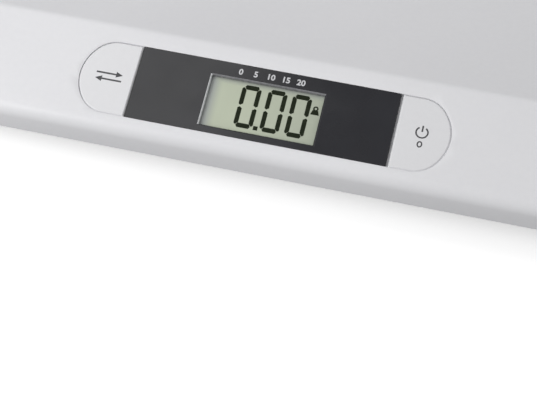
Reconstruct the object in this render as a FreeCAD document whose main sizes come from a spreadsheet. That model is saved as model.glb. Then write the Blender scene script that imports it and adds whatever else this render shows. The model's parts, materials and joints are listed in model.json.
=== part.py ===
import FreeCAD, Part
import math
import os
import Sketcher

# Digital baby scale. X runs along the length, -Y is the front with the display, Z is up.
# The origin lies on the floor, under the middle of the body. Millimetres and degrees.

doc = FreeCAD.newDocument("baby_scale")
V = FreeCAD.Vector

# ---------------------------------------------------------------- driving dimensions
driving = [
    ("body_length", 550, "overall length of the tray"),
    ("body_depth", 330, "overall depth of the tray"),
    ("plan_corner", 75, "corner radius of the tray seen from above"),
    ("straight_length", 250, "level middle stretch of the tray"),
    ("end_radius", 360, "radius by which the parting line curves up at the ends"),
    ("parting_height", 25, "floor to the lower edge of the tray's skirt"),
    ("skirt_height", 13, "height of the front skirt"),
    ("rim_tilt", 15, "slope of the front rim"),
    ("rim_width", 51.2, "width of the front rim along its slope"),
    ("panel_inset", 25, "front edge of the rim to the middle of the panel"),
    ("back_rim_depth", 25, "depth of the back rim"),
    ("dish_depth", 15.7, "fall of the dish below its crests"),
    ("rim_round", 5, "rounding between a rim and its skirt"),
    ("crest_round", 6, "rounding of the crests beside the dish"),
    ("skin", 2.6, "wall of the tray"),
    ("base_wall", 2.4, "wall of the base"),
    ("base_height", 10, "floor to the underside of the base"),
    ("base_length", 474, "length of the flat underside"),
    ("base_depth", 300, "depth of the flat underside"),
    ("base_corner", 62, "corner radius of the flat underside"),
    ("base_flare", 38.5, "draft of the base's sloping sides"),
    ("lip_height", 3, "reach of the base's lip inside the skirt"),
    ("lip_gap", 0.4, "gap between the lip and the skirt"),
    ("panel_height", 36, "height of the window and the buttons"),
    ("panel_reach", 84.6, "middle of the panel to the end of a button"),
    ("button_end_round", 20.5, "radius of a button's outer end"),
    ("button_corner_round", 13.4, "radius of a button's outer corners"),
    ("button_start", 60.2, "middle of the panel to a button's straight edge"),
    ("button_gap", 0.35, "clearance round the buttons and the window"),
    ("button_edge", 0.7, "rounding of a button's face"),
    ("button_top", 1.6, "thickness of a button's face"),
    ("button_wall", 1.5, "wall of a button"),
    ("button_flange", 1.2, "width and thickness of a button's flange"),
    ("button_rest_gap", 0.1, "flange to its stop at rest"),
    ("button_travel", 0.6, "travel of a button"),
    ("frame_depth", 6, "depth of the frame round the panel"),
    ("frame_wall", 2.5, "wall of the frame round the panel"),
    ("ledge_thickness", 2, "ledge that carries the window"),
    ("window_width", 118.4, "width of the display window"),
    ("window_thickness", 2, "thickness of the display window"),
    ("window_corner", 0.6, "corner radius of the display window"),
    ("opening_width", 52.3, "width of the opening over the display"),
    ("opening_height", 25.2, "height of the opening over the display"),
    ("opening_drop", 1.8, "opening's middle below the panel's middle"),
    ("opening_bevel", 0.5, "bevel round the opening"),
    ("tape_thickness", 0.2, "adhesive under the window"),
    ("glass_width", 58, "width of the display glass"),
    ("glass_height", 30, "height of the display glass"),
    ("glass_thickness", 2.8, "thickness of the display glass"),
    ("glass_gap", 0.1, "window to the display glass"),
    ("board_depth", 12, "panel face to the circuit board"),
    ("board_length", 160, "length of the circuit board"),
    ("board_height", 36, "height of the circuit board"),
    ("board_thickness", 1.6, "thickness of the circuit board"),
    ("hook_x", 48, "middle of the board to each of its snap hooks, along X"),
    ("hook_width", 6, "width of the snap hooks that hold the board"),
    ("hook_thickness", 1.6, "thickness of the snap hooks that hold the board"),
    ("hook_catch", 1, "reach of the snap hooks behind the board"),
    ("holder_wall", 2, "wall of the display holder round the glass"),
    ("strip_width", 2, "width of a contact strip"),
    ("strip_length", 54, "length of a contact strip"),
    ("strip_spacing", 27, "distance between the contact strips"),
    ("switch_width", 6, "width of a switch"),
    ("switch_height", 3.5, "height of a switch"),
    ("switch_floor", 0.6, "floor of a switch under its plunger"),
    ("plunger_play", 0.2, "play of a plunger in its switch"),
    ("plunger_size", 3.2, "side of a switch's plunger"),
    ("stem_size", 5, "side of a button's stem"),
    ("stem_bottom", 7.2, "panel face to the end of a button's stem"),
    ("chip_size", 12, "side of the controller chip"),
    ("chip_thickness", 1.5, "thickness of the controller chip"),
    ("foot_x", 185, "spacing of the feet from the middle, along X"),
    ("foot_y", 105, "spacing of the feet from the middle, along Y"),
    ("foot_size", 30, "diameter of a rubber foot"),
    ("foot_gap", 0.6, "clearance of a foot in the base"),
    ("foot_top", 11, "floor to the top of a rubber foot"),
    ("hub_size", 10, "side of the hub between a foot and its load cell"),
    ("socket_depth", 3, "depth of the hub in its foot"),
    ("cell_size", 34, "side of a load cell"),
    ("cell_thickness", 1.5, "thickness of a load cell"),
    ("cell_height", 13.6, "floor to the underside of a load cell"),
    ("cell_tongue", 14, "width of a load cell's tongue"),
    ("cell_slot", 2.4, "slot round a load cell's tongue"),
    ("cell_play", 0.3, "play of a load cell in its seat"),
    ("seat_length", 58, "length of a load cell's seat"),
    ("seat_depth", 42, "depth of a load cell's seat"),
    ("retainer_thickness", 2.2, "thickness of a load cell's retainer"),
    ("clip_width", 8, "width of a retainer's clips"),
    ("clip_thickness", 1.8, "thickness of a retainer's clips"),
    ("screw_x", 122, "spacing of the housing screws from the middle, along X"),
    ("screw_y", 124, "spacing of the housing screws from the middle, along Y"),
    ("screw_size", 3, "diameter of the housing screws"),
    ("screw_head", 6, "head diameter of the housing screws"),
    ("screw_reach", 16, "length of the housing screws"),
    ("screw_head_height", 2, "height of the housing screws' heads"),
    ("boss_size", 9, "side of the tray's screw bosses"),
    ("pilot_play", 0.1, "a screw's hole is wider by this"),
    ("battery_size", 10.5, "diameter of a battery cell"),
    ("battery_length", 43.3, "length of a battery cell without its nub"),
    ("battery_nub", 1.2, "height of a battery cell's nub"),
    ("battery_pitch", 11, "distance between battery cells"),
    ("battery_y", 12, "middle of the battery compartment, along Y"),
    ("battery_margin", 3.6, "room for a contact at each end of the cells"),
    ("tub_wall", 2, "wall of the battery compartment"),
    ("tub_depth", 14, "depth of the battery compartment"),
    ("door_ledge", 2, "ledge that the battery door lies on"),
    ("door_thickness", 2, "thickness of the battery door"),
    ("door_gap", 0.4, "clearance round the battery door"),
    ("latch_width", 4.8, "width of the battery door's latch"),
    ("latch_thickness", 1.5, "thickness of the battery door's latch"),
    ("latch_height", 3, "height of the battery door's latch"),
    ("tab_length", 2.4, "reach of the battery door's tabs"),
    ("tab_width", 6, "width of the battery door's tabs"),
    ("tab_thickness", 1.2, "thickness of the battery door's tabs"),
    ("contact_thickness", 0.4, "thickness of the battery contacts"),
]

sizes = doc.addObject("Spreadsheet::Sheet", "Sizes")
for row, (alias, value, note) in enumerate(driving, start=1):
    sizes.set("A%d" % row, alias)
    sizes.set("B%d" % row, str(value))
    sizes.setAlias("B%d" % row, alias)
    sizes.set("C%d" % row, note)
doc.recompute()

# ---------------------------------------------------------------- places that follow from them
places = doc.addObject("App::VarSet", "Places")


def number(expression):
    """The value that an expression has now."""
    result = sizes.evalExpression(expression)
    return float(getattr(result, "Value", result))


def derive(name, expression):
    places.addProperty("App::PropertyFloat", name, "Places")
    places.setExpression(name, expression)
    doc.recompute()


derive("rim_front_z", "Sizes.parting_height + Sizes.skirt_height")
derive("panel_y", "-Sizes.body_depth / 2 + Sizes.panel_inset * cos(Sizes.rim_tilt)")
derive("panel_z", "Places.rim_front_z + Sizes.panel_inset * sin(Sizes.rim_tilt)")
derive("crest_y", "-Sizes.body_depth / 2 + Sizes.rim_width * cos(Sizes.rim_tilt)")
derive("crest_z", "Places.rim_front_z + Sizes.rim_width * sin(Sizes.rim_tilt)")
derive("back_crest_y", "Sizes.body_depth / 2 - Sizes.back_rim_depth")
derive("back_top_z", "Places.crest_z - Sizes.back_rim_depth * tan(Sizes.rim_tilt)")
derive("rim_round_drop", "Sizes.rim_round * (tan(Sizes.rim_tilt) - 1 / cos(Sizes.rim_tilt))")
derive("edge_y", "-Sizes.body_depth / 2 + Sizes.rim_round")
derive("edge_z", "Places.rim_front_z + Places.rim_round_drop")
derive("back_edge_y", "Sizes.body_depth / 2 - Sizes.rim_round")
derive("back_edge_z", "Places.back_top_z + Places.rim_round_drop")
derive("half_chord", "(Places.back_crest_y - Places.crest_y) / 2")
derive("dish_y", "(Places.back_crest_y + Places.crest_y) / 2")
derive("dish_radius", "(Places.half_chord ^ 2 + Sizes.dish_depth ^ 2) / (2 * Sizes.dish_depth)")
derive("dish_axis_z", "Places.crest_z - Sizes.dish_depth + Places.dish_radius")
derive("end_axis_z", "Sizes.parting_height + Sizes.end_radius")
derive("lip_inset", "Sizes.skin + Sizes.lip_gap")
derive("far_below", "-Sizes.body_depth / 2")
derive("base_floor", "Sizes.base_height + Sizes.base_wall")
derive("glass_top", "Sizes.window_thickness + Sizes.glass_gap")
derive("glass_bottom", "Places.glass_top + Sizes.glass_thickness")
derive("ledge_top", "Sizes.window_thickness + Sizes.tape_thickness")
derive("button_middle", "(Sizes.button_start + Sizes.panel_reach) / 2")
derive("flange_top", "Sizes.frame_depth + Sizes.button_rest_gap")
derive(
    "button_turn",
    "Sizes.panel_reach - Sizes.button_end_round + sqrt("
    "(Sizes.button_end_round - Sizes.button_corner_round) ^ 2"
    " - (Sizes.panel_height / 2 - Sizes.button_corner_round) ^ 2)",
)
derive("cell_top", "Sizes.cell_height + Sizes.cell_thickness")
derive("tub_length", "2 * Sizes.battery_pitch + 1")
derive("tub_breadth", "Sizes.battery_length + Sizes.battery_nub + 2 * Sizes.battery_margin")
derive("tub_top", "Sizes.base_height + Sizes.tub_depth")
derive("battery_axis_z", "Places.tub_top - Sizes.battery_size / 2 - 0.3")
derive("door_back_y", "Sizes.battery_y + Places.tub_breadth / 2 + Sizes.door_ledge")
derive("door_front_y", "Sizes.battery_y - Places.tub_breadth / 2 - Sizes.door_ledge")


# ---------------------------------------------------------------- sketch and body helpers
def new_body(name):
    body = doc.addObject("PartDesign::Body", name)
    body.Label = name
    return body


def origin_plane(body, role):
    return next(item for item in body.Origin.OriginFeatures if item.Role == role)


def new_sketch(body, role="XY_Plane", height="0"):
    sketch = body.newObject("Sketcher::SketchObject", body.Name + "_sketch")
    sketch.AttachmentSupport = (origin_plane(body, role), [""])
    sketch.MapMode = "FlatFace"
    sketch.setExpression("AttachmentOffset.Base.z", height)
    return sketch


def bind(sketch, kind, places_in_sketch, expression):
    """Add a dimension that follows an expression."""
    constraint = Sketcher.Constraint(kind, *places_in_sketch, number(expression))
    index = sketch.addConstraint(constraint)
    sketch.setExpression("Constraints[%d]" % index, expression)


def fix_point(sketch, item, point, across, up):
    if across == "0":
        sketch.addConstraint(Sketcher.Constraint("PointOnObject", item, point, -2))
    else:
        bind(sketch, "DistanceX", (-1, 1, item, point), across)
    if up == "0":
        sketch.addConstraint(Sketcher.Constraint("PointOnObject", item, point, -1))
    else:
        bind(sketch, "DistanceY", (-1, 1, item, point), up)


def polygon(sketch, corners):
    """Closed outline through corners, each a pair of expressions."""
    points = [V(number(across), number(up), 0) for across, up in corners]
    count = len(points)
    lines = [
        sketch.addGeometry(Part.LineSegment(points[index], points[(index + 1) % count]), False)
        for index in range(count)
    ]
    for index, (across, up) in enumerate(corners):
        following = lines[(index + 1) % count]
        sketch.addConstraint(Sketcher.Constraint("Coincident", lines[index], 2, following, 1))
        fix_point(sketch, lines[index], 1, across, up)


def block(sketch, length, depth, across="0", along="0"):
    """Plain rectangle round a middle point."""
    low, high = f"{along} - ({depth}) / 2", f"{along} + ({depth}) / 2"
    left, right = f"{across} - ({length}) / 2", f"{across} + ({length}) / 2"
    polygon(sketch, [(left, low), (right, low), (right, high), (left, high)])


def circle(sketch, across, up, radius):
    centre = V(number(across), number(up), 0)
    item = sketch.addGeometry(Part.Circle(centre, V(0, 0, 1), number(radius)), False)
    fix_point(sketch, item, 3, across, up)
    bind(sketch, "Radius", (item,), radius)


def arc(sketch, centre, radius, start, end):
    """Anticlockwise arc between two angles in degrees."""
    full = Part.Circle(centre, V(0, 0, 1), radius)
    return sketch.addGeometry(Part.ArcOfCircle(full, math.radians(start), math.radians(end)), False)


def rounded_rectangle(sketch, length, depth, corner, across="0", up="0"):
    """Rectangle of a length and a depth round a middle point, with round corners."""
    left, right = number(f"{across} - ({length}) / 2"), number(f"{across} + ({length}) / 2")
    low, high = number(f"{up} - ({depth}) / 2"), number(f"{up} + ({depth}) / 2")
    round_ = number(corner)
    ends = [
        (V(left + round_, low, 0), V(right - round_, low, 0)),
        (V(right, low + round_, 0), V(right, high - round_, 0)),
        (V(right - round_, high, 0), V(left + round_, high, 0)),
        (V(left, high - round_, 0), V(left, low + round_, 0)),
    ]
    lines = [sketch.addGeometry(Part.LineSegment(*pair), False) for pair in ends]
    centres = [
        V(right - round_, low + round_, 0),
        V(right - round_, high - round_, 0),
        V(left + round_, high - round_, 0),
        V(left + round_, low + round_, 0),
    ]
    arcs = [
        arc(sketch, centre, round_, 270 + 90 * turn, 360 + 90 * turn)
        for turn, centre in enumerate(centres)
    ]
    for index in range(4):
        following = lines[(index + 1) % 4]
        sketch.addConstraint(Sketcher.Constraint("Tangent", lines[index], 2, arcs[index], 1))
        sketch.addConstraint(Sketcher.Constraint("Tangent", arcs[index], 2, following, 1))
        direction = "Vertical" if index % 2 else "Horizontal"
        sketch.addConstraint(Sketcher.Constraint(direction, lines[index]))
        if index:
            sketch.addConstraint(Sketcher.Constraint("Equal", arcs[0], arcs[index]))
    bind(sketch, "Radius", (arcs[0],), corner)
    bind(sketch, "DistanceY", (-1, 1, lines[0], 1), f"{up} - ({depth}) / 2")
    bind(sketch, "DistanceY", (-1, 1, lines[2], 1), f"{up} + ({depth}) / 2")
    bind(sketch, "DistanceX", (-1, 1, lines[1], 1), f"{across} + ({length}) / 2")
    bind(sketch, "DistanceX", (-1, 1, lines[3], 1), f"{across} - ({length}) / 2")


def button_outline(sketch, start, grow):
    """Straight edge at start, then a D that bulges to the panel's end, grown all round."""
    half = f"(Sizes.panel_height / 2 + {grow})"
    reach = f"(Sizes.panel_reach + {grow})"
    corner = f"(Sizes.button_corner_round + {grow})"
    bulge = f"(Sizes.button_end_round + {grow})"
    middle = f"({reach} - {bulge})"
    turn = f"({middle} + sqrt(({bulge} - {corner}) ^ 2 - ({half} - {corner}) ^ 2))"
    corner_x, corner_y = number(turn), number(f"{half} - {corner}")
    lean = number(f"asin(({half} - {corner}) / ({bulge} - {corner}))")
    left, top = number(start), number(half)
    low = sketch.addGeometry(Part.LineSegment(V(left, -top, 0), V(corner_x, -top, 0)), False)
    low_arc = arc(sketch, V(corner_x, -corner_y, 0), number(corner), 270, 360 - lean)
    end_arc = arc(sketch, V(number(middle), 0, 0), number(bulge), -lean, lean)
    high_arc = arc(sketch, V(corner_x, corner_y, 0), number(corner), lean, 90)
    high = sketch.addGeometry(Part.LineSegment(V(corner_x, top, 0), V(left, top, 0)), False)
    side = sketch.addGeometry(Part.LineSegment(V(left, top, 0), V(left, -top, 0)), False)
    chain = [low, low_arc, end_arc, high_arc, high]
    for first, second in zip(chain, chain[1:]):
        sketch.addConstraint(Sketcher.Constraint("Tangent", first, 2, second, 1))
    sketch.addConstraint(Sketcher.Constraint("Coincident", high, 2, side, 1))
    sketch.addConstraint(Sketcher.Constraint("Coincident", side, 2, low, 1))
    sketch.addConstraint(Sketcher.Constraint("Horizontal", low))
    sketch.addConstraint(Sketcher.Constraint("Horizontal", high))
    sketch.addConstraint(Sketcher.Constraint("Vertical", side))
    sketch.addConstraint(Sketcher.Constraint("Equal", low_arc, high_arc))
    bind(sketch, "Radius", (low_arc,), corner)
    bind(sketch, "Radius", (end_arc,), bulge)
    fix_point(sketch, end_arc, 3, middle, "0")
    fix_point(sketch, side, 1, start, half)
    bind(sketch, "DistanceY", (-1, 1, low, 1), f"-{half}")


def pad(body, sketch, length, taper="0"):
    feature = body.newObject("PartDesign::Pad", body.Name + "_pad")
    feature.Profile = sketch
    feature.setExpression("Length", length)
    if taper != "0":
        feature.setExpression("TaperAngle", taper)
    sketch.Visibility = False
    return feature


def upright(name, draw, bottom, top):
    """A body of one upright plate, bar or hole between two heights."""
    body = new_body(name)
    sketch = new_sketch(body, "XY_Plane", bottom)
    draw(sketch)
    pad(body, sketch, f"({top}) - ({bottom})")
    return body


def pocket(body, sketch, length):
    """Cut upwards from the sketch, along its normal."""
    feature = body.newObject("PartDesign::Pocket", body.Name + "_pocket")
    feature.Profile = sketch
    feature.setExpression("Length", length)
    feature.Reversed = True
    return feature


def revolve(body, sketch):
    """Full turn of a sketch round its own upright axis."""
    feature = body.newObject("PartDesign::Revolution", body.Name + "_turn")
    feature.Profile = sketch
    feature.ReferenceAxis = (sketch, ["V_Axis"])
    feature.Angle = 360
    return feature


def mirror(body, feature, role="YZ_Plane"):
    mirrored = body.newObject("PartDesign::Mirrored", body.Name + "_mirror")
    mirrored.Originals = [feature]
    mirrored.MirrorPlane = (origin_plane(body, role), [""])
    body.Tip = mirrored
    return mirrored


def finish_edges(body, kind, size, chosen):
    """Fillet or chamfer the edges of the body for which chosen is true."""
    doc.recompute()
    tip = body.Tip
    names = ["Edge%d" % (index + 1) for index, edge in enumerate(tip.Shape.Edges) if chosen(edge)]
    feature = body.newObject("PartDesign::" + kind, body.Name + "_" + kind.lower())
    feature.Base = (tip, names)
    feature.setExpression("Radius" if kind == "Fillet" else "Size", size)
    return feature


def place(item, across="0", along="0", up="0"):
    """Put an object where expressions say."""
    for letter, expression in zip("xyz", (across, along, up)):
        item.setExpression("Placement.Base." + letter, expression)
    return item


def on_panel(item, turned=False):
    """Seat an object in the tilted panel: its XY plane is the panel's face."""
    item.setExpression("Placement.Base.y", "Places.panel_y")
    item.setExpression("Placement.Base.z", "Places.panel_z")
    tilt = "create(<<rotation>>; create(<<vector>>; 1; 0; 0); Sizes.rim_tilt)"
    half_turn = "create(<<rotation>>; create(<<vector>>; 0; 0; 1); 180)"
    item.setExpression("Placement.Rotation", f"{tilt} * {half_turn}" if turned else tilt)
    return item


def boolean(kind, name, first, *others):
    if kind == "Cut":
        item = doc.addObject("Part::Cut", name)
        item.Base = first
        item.Tool = others[0] if len(others) == 1 else boolean("MultiFuse", name + "_tools", *others)
    else:
        item = doc.addObject("Part::" + kind, name)
        item.Shapes = [first, *others]
    item.Refine = True
    item.Label = name
    return item


parts = []


def keep(item, name=None):
    """Hand an object over as a sub-part."""
    item.Label = name or item.Label
    parts.append(item)
    return item


# ---------------------------------------------------------------- tray shell
derive(
    "end_turn",
    "4 + asin((Sizes.body_length - Sizes.straight_length) / 2"
    " / (Places.end_axis_z - Places.crest_z)) / 1 deg",
)


def crest_centre(facing):
    """Centre of the rounding between the dish and the rim that climbs to it."""
    front, back = V(places.edge_y, places.edge_z, 0), V(places.back_edge_y, places.back_edge_z, 0)
    tilt = math.radians(sizes.rim_tilt)
    along = V(facing * math.cos(tilt), math.sin(tilt), 0)
    outward = V(-facing * math.sin(tilt), math.cos(tilt), 0)
    start = (front if facing > 0 else back) + (sizes.rim_round - sizes.crest_round) * outward
    offset = start - V(places.dish_y, places.dish_axis_z, 0)
    beside = offset.dot(along)
    reach = places.dish_radius + sizes.crest_round
    return start - (beside + (beside ** 2 - offset.Length ** 2 + reach ** 2) ** 0.5) * along


def cradle_section(sketch, inset, low):
    """Skirts, sloping rims and hollow dish, joined by roundings, all offset inwards by inset."""
    dish_radius = f"(Places.dish_radius + {inset})"
    rim_round, crest_round = f"(Sizes.rim_round - {inset})", f"(Sizes.crest_round - {inset})"
    edge_centre = V(places.edge_y, places.edge_z, 0)
    back_edge_centre = V(places.back_edge_y, places.back_edge_z, 0)
    dish_centre = V(places.dish_y, places.dish_axis_z, 0)
    crests = [crest_centre(1), crest_centre(-1)]
    lean, back_lean = [
        math.degrees(math.atan2(abs(centre.x - dish_centre.x), dish_centre.y - centre.y))
        for centre in crests
    ]
    tilt = sizes.rim_tilt
    edge = arc(sketch, edge_centre, number(rim_round), 90 + tilt, 180)
    crest = arc(sketch, crests[0], number(crest_round), 90 - lean, 90 + tilt)
    dish = arc(sketch, dish_centre, number(dish_radius), 270 - lean, 270 + back_lean)
    back_crest = arc(sketch, crests[1], number(crest_round), 90 - tilt, 90 + back_lean)
    back_edge = arc(sketch, back_edge_centre, number(rim_round), 0, 90 - tilt)
    skirt_top, back_skirt_top = sketch.getPoint(edge, 2), sketch.getPoint(back_edge, 1)
    low_front, low_back = V(skirt_top.x, number(low), 0), V(back_skirt_top.x, number(low), 0)
    skirt, rim, back_rim, back_skirt, bottom = [
        sketch.addGeometry(Part.LineSegment(*ends), False)
        for ends in (
            (low_front, skirt_top),
            (sketch.getPoint(edge, 1), sketch.getPoint(crest, 2)),
            (sketch.getPoint(back_crest, 1), sketch.getPoint(back_edge, 2)),
            (back_skirt_top, low_back),
            (low_back, low_front),
        )
    ]
    smooth = [
        (skirt, 2, edge, 2), (edge, 1, rim, 1), (rim, 2, crest, 2), (crest, 1, dish, 1),
        (dish, 2, back_crest, 2), (back_crest, 1, back_rim, 1), (back_rim, 2, back_edge, 2),
        (back_edge, 1, back_skirt, 1),
    ]
    for join in smooth:
        sketch.addConstraint(Sketcher.Constraint("Tangent", *join))
    sketch.addConstraint(Sketcher.Constraint("Coincident", back_skirt, 2, bottom, 1))
    sketch.addConstraint(Sketcher.Constraint("Coincident", bottom, 2, skirt, 1))
    sketch.addConstraint(Sketcher.Constraint("Horizontal", bottom))
    sketch.addConstraint(Sketcher.Constraint("Vertical", skirt))
    sketch.addConstraint(Sketcher.Constraint("Vertical", back_skirt))
    bind(sketch, "DistanceY", (-1, 1, bottom, 1), low)
    for line, sign in ((rim, ""), (back_rim, "-")):
        lean_angle = math.radians(number(sign + "Sizes.rim_tilt"))
        index = sketch.addConstraint(Sketcher.Constraint("Angle", line, lean_angle))
        sketch.setExpression("Constraints[%d]" % index, sign + "Sizes.rim_tilt")
    fix_point(sketch, edge, 3, "Places.edge_y", "Places.edge_z")
    fix_point(sketch, back_edge, 3, "Places.back_edge_y", "Places.back_edge_z")
    fix_point(sketch, dish, 3, "Places.dish_y", "Places.dish_axis_z")
    bind(sketch, "Radius", (dish,), dish_radius)
    for item, radius in zip((edge, back_edge, crest, back_crest), 2 * [rim_round] + 2 * [crest_round]):
        bind(sketch, "Radius", (item,), radius)


def lip_section(sketch, inset, low, high):
    """Plain upright section between two heights."""
    front, back = f"(-Sizes.body_depth / 2 + {inset})", f"(Sizes.body_depth / 2 - {inset})"
    polygon(sketch, [(front, low), (back, low), (back, high), (front, high)])


def cradle(name, inset, draw):
    """Sweep a section level through the middle and up round both ends, cut to the plan outline."""
    body = new_body(name)
    level = new_sketch(body, "YZ_Plane")
    draw(level)
    middle = pad(body, level, "Sizes.straight_length")
    middle.SideType = "Symmetric"
    rising = new_sketch(body, "YZ_Plane", "Sizes.straight_length / 2")
    draw(rising)
    height = places.end_axis_z
    axis = rising.addGeometry(Part.LineSegment(V(-10, height, 0), V(10, height, 0)), True)
    rising.addConstraint(Sketcher.Constraint("Horizontal", axis))
    fix_point(rising, axis, 1, "-10", "Places.end_axis_z")
    bind(rising, "DistanceX", (-1, 1, axis, 2), "10")
    end = body.newObject("PartDesign::Revolution", name + "_end")
    end.Profile = rising
    end.ReferenceAxis = (rising, ["Axis0"])
    end.setExpression("Angle", "Places.end_turn")
    end.Reversed = True
    mirror(body, end)
    outline = new_sketch(body, "XY_Plane")
    rounded_rectangle(
        outline,
        f"Sizes.body_length - 2 * {inset}",
        f"Sizes.body_depth - 2 * {inset}",
        f"Sizes.plan_corner - {inset}",
    )
    far_x, far_y = "Sizes.body_length", "Sizes.body_depth"
    polygon(outline, [
        ("-" + far_x, "-" + far_y), (far_x, "-" + far_y), (far_x, far_y), ("-" + far_x, far_y),
    ])
    pocket(body, outline, "Sizes.end_radius")
    return body


tray_outer = cradle(
    "tray_outer", "0", lambda sketch: cradle_section(sketch, "0", "Sizes.parting_height")
)


tray_inner = cradle(
    "tray_inner", "Sizes.skin",
    lambda sketch: cradle_section(sketch, "Sizes.skin", "Sizes.base_height"),
)
tray_skin = boolean("Cut", "tray_skin", tray_outer, tray_inner)


def panel_solid(name, draw, top, bottom, both=False):
    """A plate in the panel's frame between two depths below its face, mirrored on request."""
    body = new_body(name)
    sketch = new_sketch(body, "XY_Plane", f"-({bottom})")
    draw(sketch)
    plate = pad(body, sketch, f"({bottom}) - ({top})")
    if both:
        doc.recompute()
        mirror(body, plate)
    return on_panel(body)


def board_hooks(name, inner, top, bottom):
    """Bars above and below the circuit board, from a distance beside its edge inwards."""
    def draw(sketch):
        for side in ("", "-"):
            left = f"({side}Sizes.hook_x) - Sizes.hook_width / 2"
            right = f"({side}Sizes.hook_x) + Sizes.hook_width / 2"
            for edge in ("", "-"):
                near = f"{edge}(Sizes.board_height / 2 + {inner})"
                far = f"{edge}(Sizes.board_height / 2 + Sizes.button_gap + Sizes.hook_thickness)"
                corners = [(left, near), (right, near), (right, far), (left, far)]
                polygon(sketch, corners)
    return panel_solid(name, draw, top, bottom)


frame_grow = "(Sizes.button_gap + Sizes.frame_wall)"
panel_frame = panel_solid(
    "panel_frame", lambda sketch: button_outline(sketch, "0", frame_grow), "Sizes.skin / 2",
    "Sizes.frame_depth", True,
)
panel_recess = panel_solid(
    "panel_recess", lambda sketch: button_outline(sketch, "0", "Sizes.button_gap"), "-Sizes.skin",
    "Places.ledge_top", True,
)
button_holes = panel_solid(
    "button_holes",
    lambda sketch: button_outline(sketch, "Sizes.button_start - Sizes.button_gap", "Sizes.button_gap"),
    "-Sizes.skin", "Sizes.frame_depth + 1", True,
)
ledge_bottom = "(Places.ledge_top + Sizes.ledge_thickness)"
ledge_hollow = panel_solid(
    "ledge_hollow",
    lambda sketch: rounded_rectangle(
        sketch,
        "2 * (Sizes.button_start - Sizes.button_gap - Sizes.frame_wall)",
        "Sizes.panel_height + 2 * Sizes.button_gap",
        "Sizes.frame_wall",
    ),
    ledge_bottom, "Sizes.frame_depth + 1",
)
glass_hole = panel_solid(
    "glass_hole",
    lambda sketch: rounded_rectangle(
        sketch, "Sizes.glass_width + 1", "Sizes.glass_height + 1", "0.8", "0", "-Sizes.opening_drop"
    ),
    "0", "Sizes.frame_depth + 1",
)
board_back = "(Sizes.board_depth + Sizes.board_thickness)"
hook_bars = board_hooks(
    "hook_bars", "Sizes.button_gap", "Sizes.frame_depth - 1", board_back + " + Sizes.hook_catch + 0.1"
)
hook_catches = board_hooks(
    "hook_catches", "-Sizes.hook_catch", board_back + " + 0.1",
    board_back + " + Sizes.hook_catch + 0.1",
)

screw_spots = [(f"{side}Sizes.screw_x", f"{edge}Sizes.screw_y") for side in ("", "-") for edge in ("", "-")]


def housing_pins(name, size, bottom, top):
    """Round pins or holes at the housing screws, between two heights."""
    def draw(sketch):
        for across, along in screw_spots:
            circle(sketch, across, along, f"({size}) / 2")
    return upright(name, draw, bottom, top)


def tray_posts_outline(sketch):
    for across, along in screw_spots:
        block(sketch, "Sizes.boss_size", "Sizes.boss_size", across, along)


tray_posts = upright("tray_posts", tray_posts_outline, "Places.base_floor", "2 * Sizes.rim_width")
tray_bosses = boolean("MultiCommon", "tray_bosses", tray_posts, tray_inner)
tray_pilots = housing_pins(
    "tray_pilots", "Sizes.screw_size + Sizes.pilot_play", "Places.base_floor - 1",
    "Sizes.base_height + Sizes.screw_reach + 1",
)
tray_solid = boolean("MultiFuse", "tray_solid", tray_skin, panel_frame, tray_bosses)
tray_open = boolean(
    "Cut", "tray_open", tray_solid, panel_recess, button_holes, ledge_hollow, glass_hole
)
tray_hooked = boolean("MultiFuse", "tray_hooked", tray_open, hook_bars, hook_catches)
keep(boolean("Cut", "tray_shell", tray_hooked, tray_pilots))


# ---------------------------------------------------------------- base shell
def flared(name, inset, low, high):
    """Tray-shaped block whose sides lean out upwards, narrower by inset."""
    body = new_body(name)
    sketch = new_sketch(body, "XY_Plane", low)
    rounded_rectangle(
        sketch, f"Sizes.base_length - 2 * {inset}", f"Sizes.base_depth - 2 * {inset}",
        f"Sizes.base_corner - {inset}",
    )
    pad(body, sketch, f"({high}) - ({low})", "Sizes.base_flare")
    return body


high_base = "2 * Sizes.rim_width"
lip_top = "Sizes.parting_height + Sizes.lip_height"
inner_inset = "(Places.lip_inset + Sizes.base_wall)"
base_outside = boolean(
    "MultiCommon", "base_outside",
    flared("base_block", "0", "Sizes.base_height", high_base),
    cradle("lip_outside", "Places.lip_inset",
           lambda sketch: lip_section(sketch, "Places.lip_inset", "Places.far_below", lip_top)),
)
base_inside = boolean(
    "MultiCommon", "base_inside",
    flared("base_hollow", "Sizes.base_wall", "Places.base_floor", high_base),
    cradle("lip_inside", inner_inset,
           lambda sketch: lip_section(sketch, inner_inset, "Places.far_below", lip_top + " + 1")),
)
base_pan = boolean("Cut", "base_pan", base_outside, base_inside)

foot_spots = {
    "front_left": ("-Sizes.foot_x", "-Sizes.foot_y"),
    "front_right": ("Sizes.foot_x", "-Sizes.foot_y"),
    "rear_left": ("-Sizes.foot_x", "Sizes.foot_y"),
    "rear_right": ("Sizes.foot_x", "Sizes.foot_y"),
}


def at_feet(name, draw, bottom, top):
    """The same plate or hole at all four feet, between two heights."""
    def draw_all(sketch):
        for across, along in foot_spots.values():
            draw(sketch, across, along)
    return upright(name, draw_all, bottom, top)


def seat_outline(sketch, across, along):
    block(sketch, "Sizes.seat_length", "Sizes.seat_depth", across, along)


def seat_recess_outline(sketch, across, along):
    side = "Sizes.cell_size + 2 * Sizes.cell_play"
    block(sketch, side, side, across, along)


def foot_hole_outline(sketch, across, along):
    circle(sketch, across, along, "Sizes.foot_size / 2 + Sizes.foot_gap")


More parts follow.
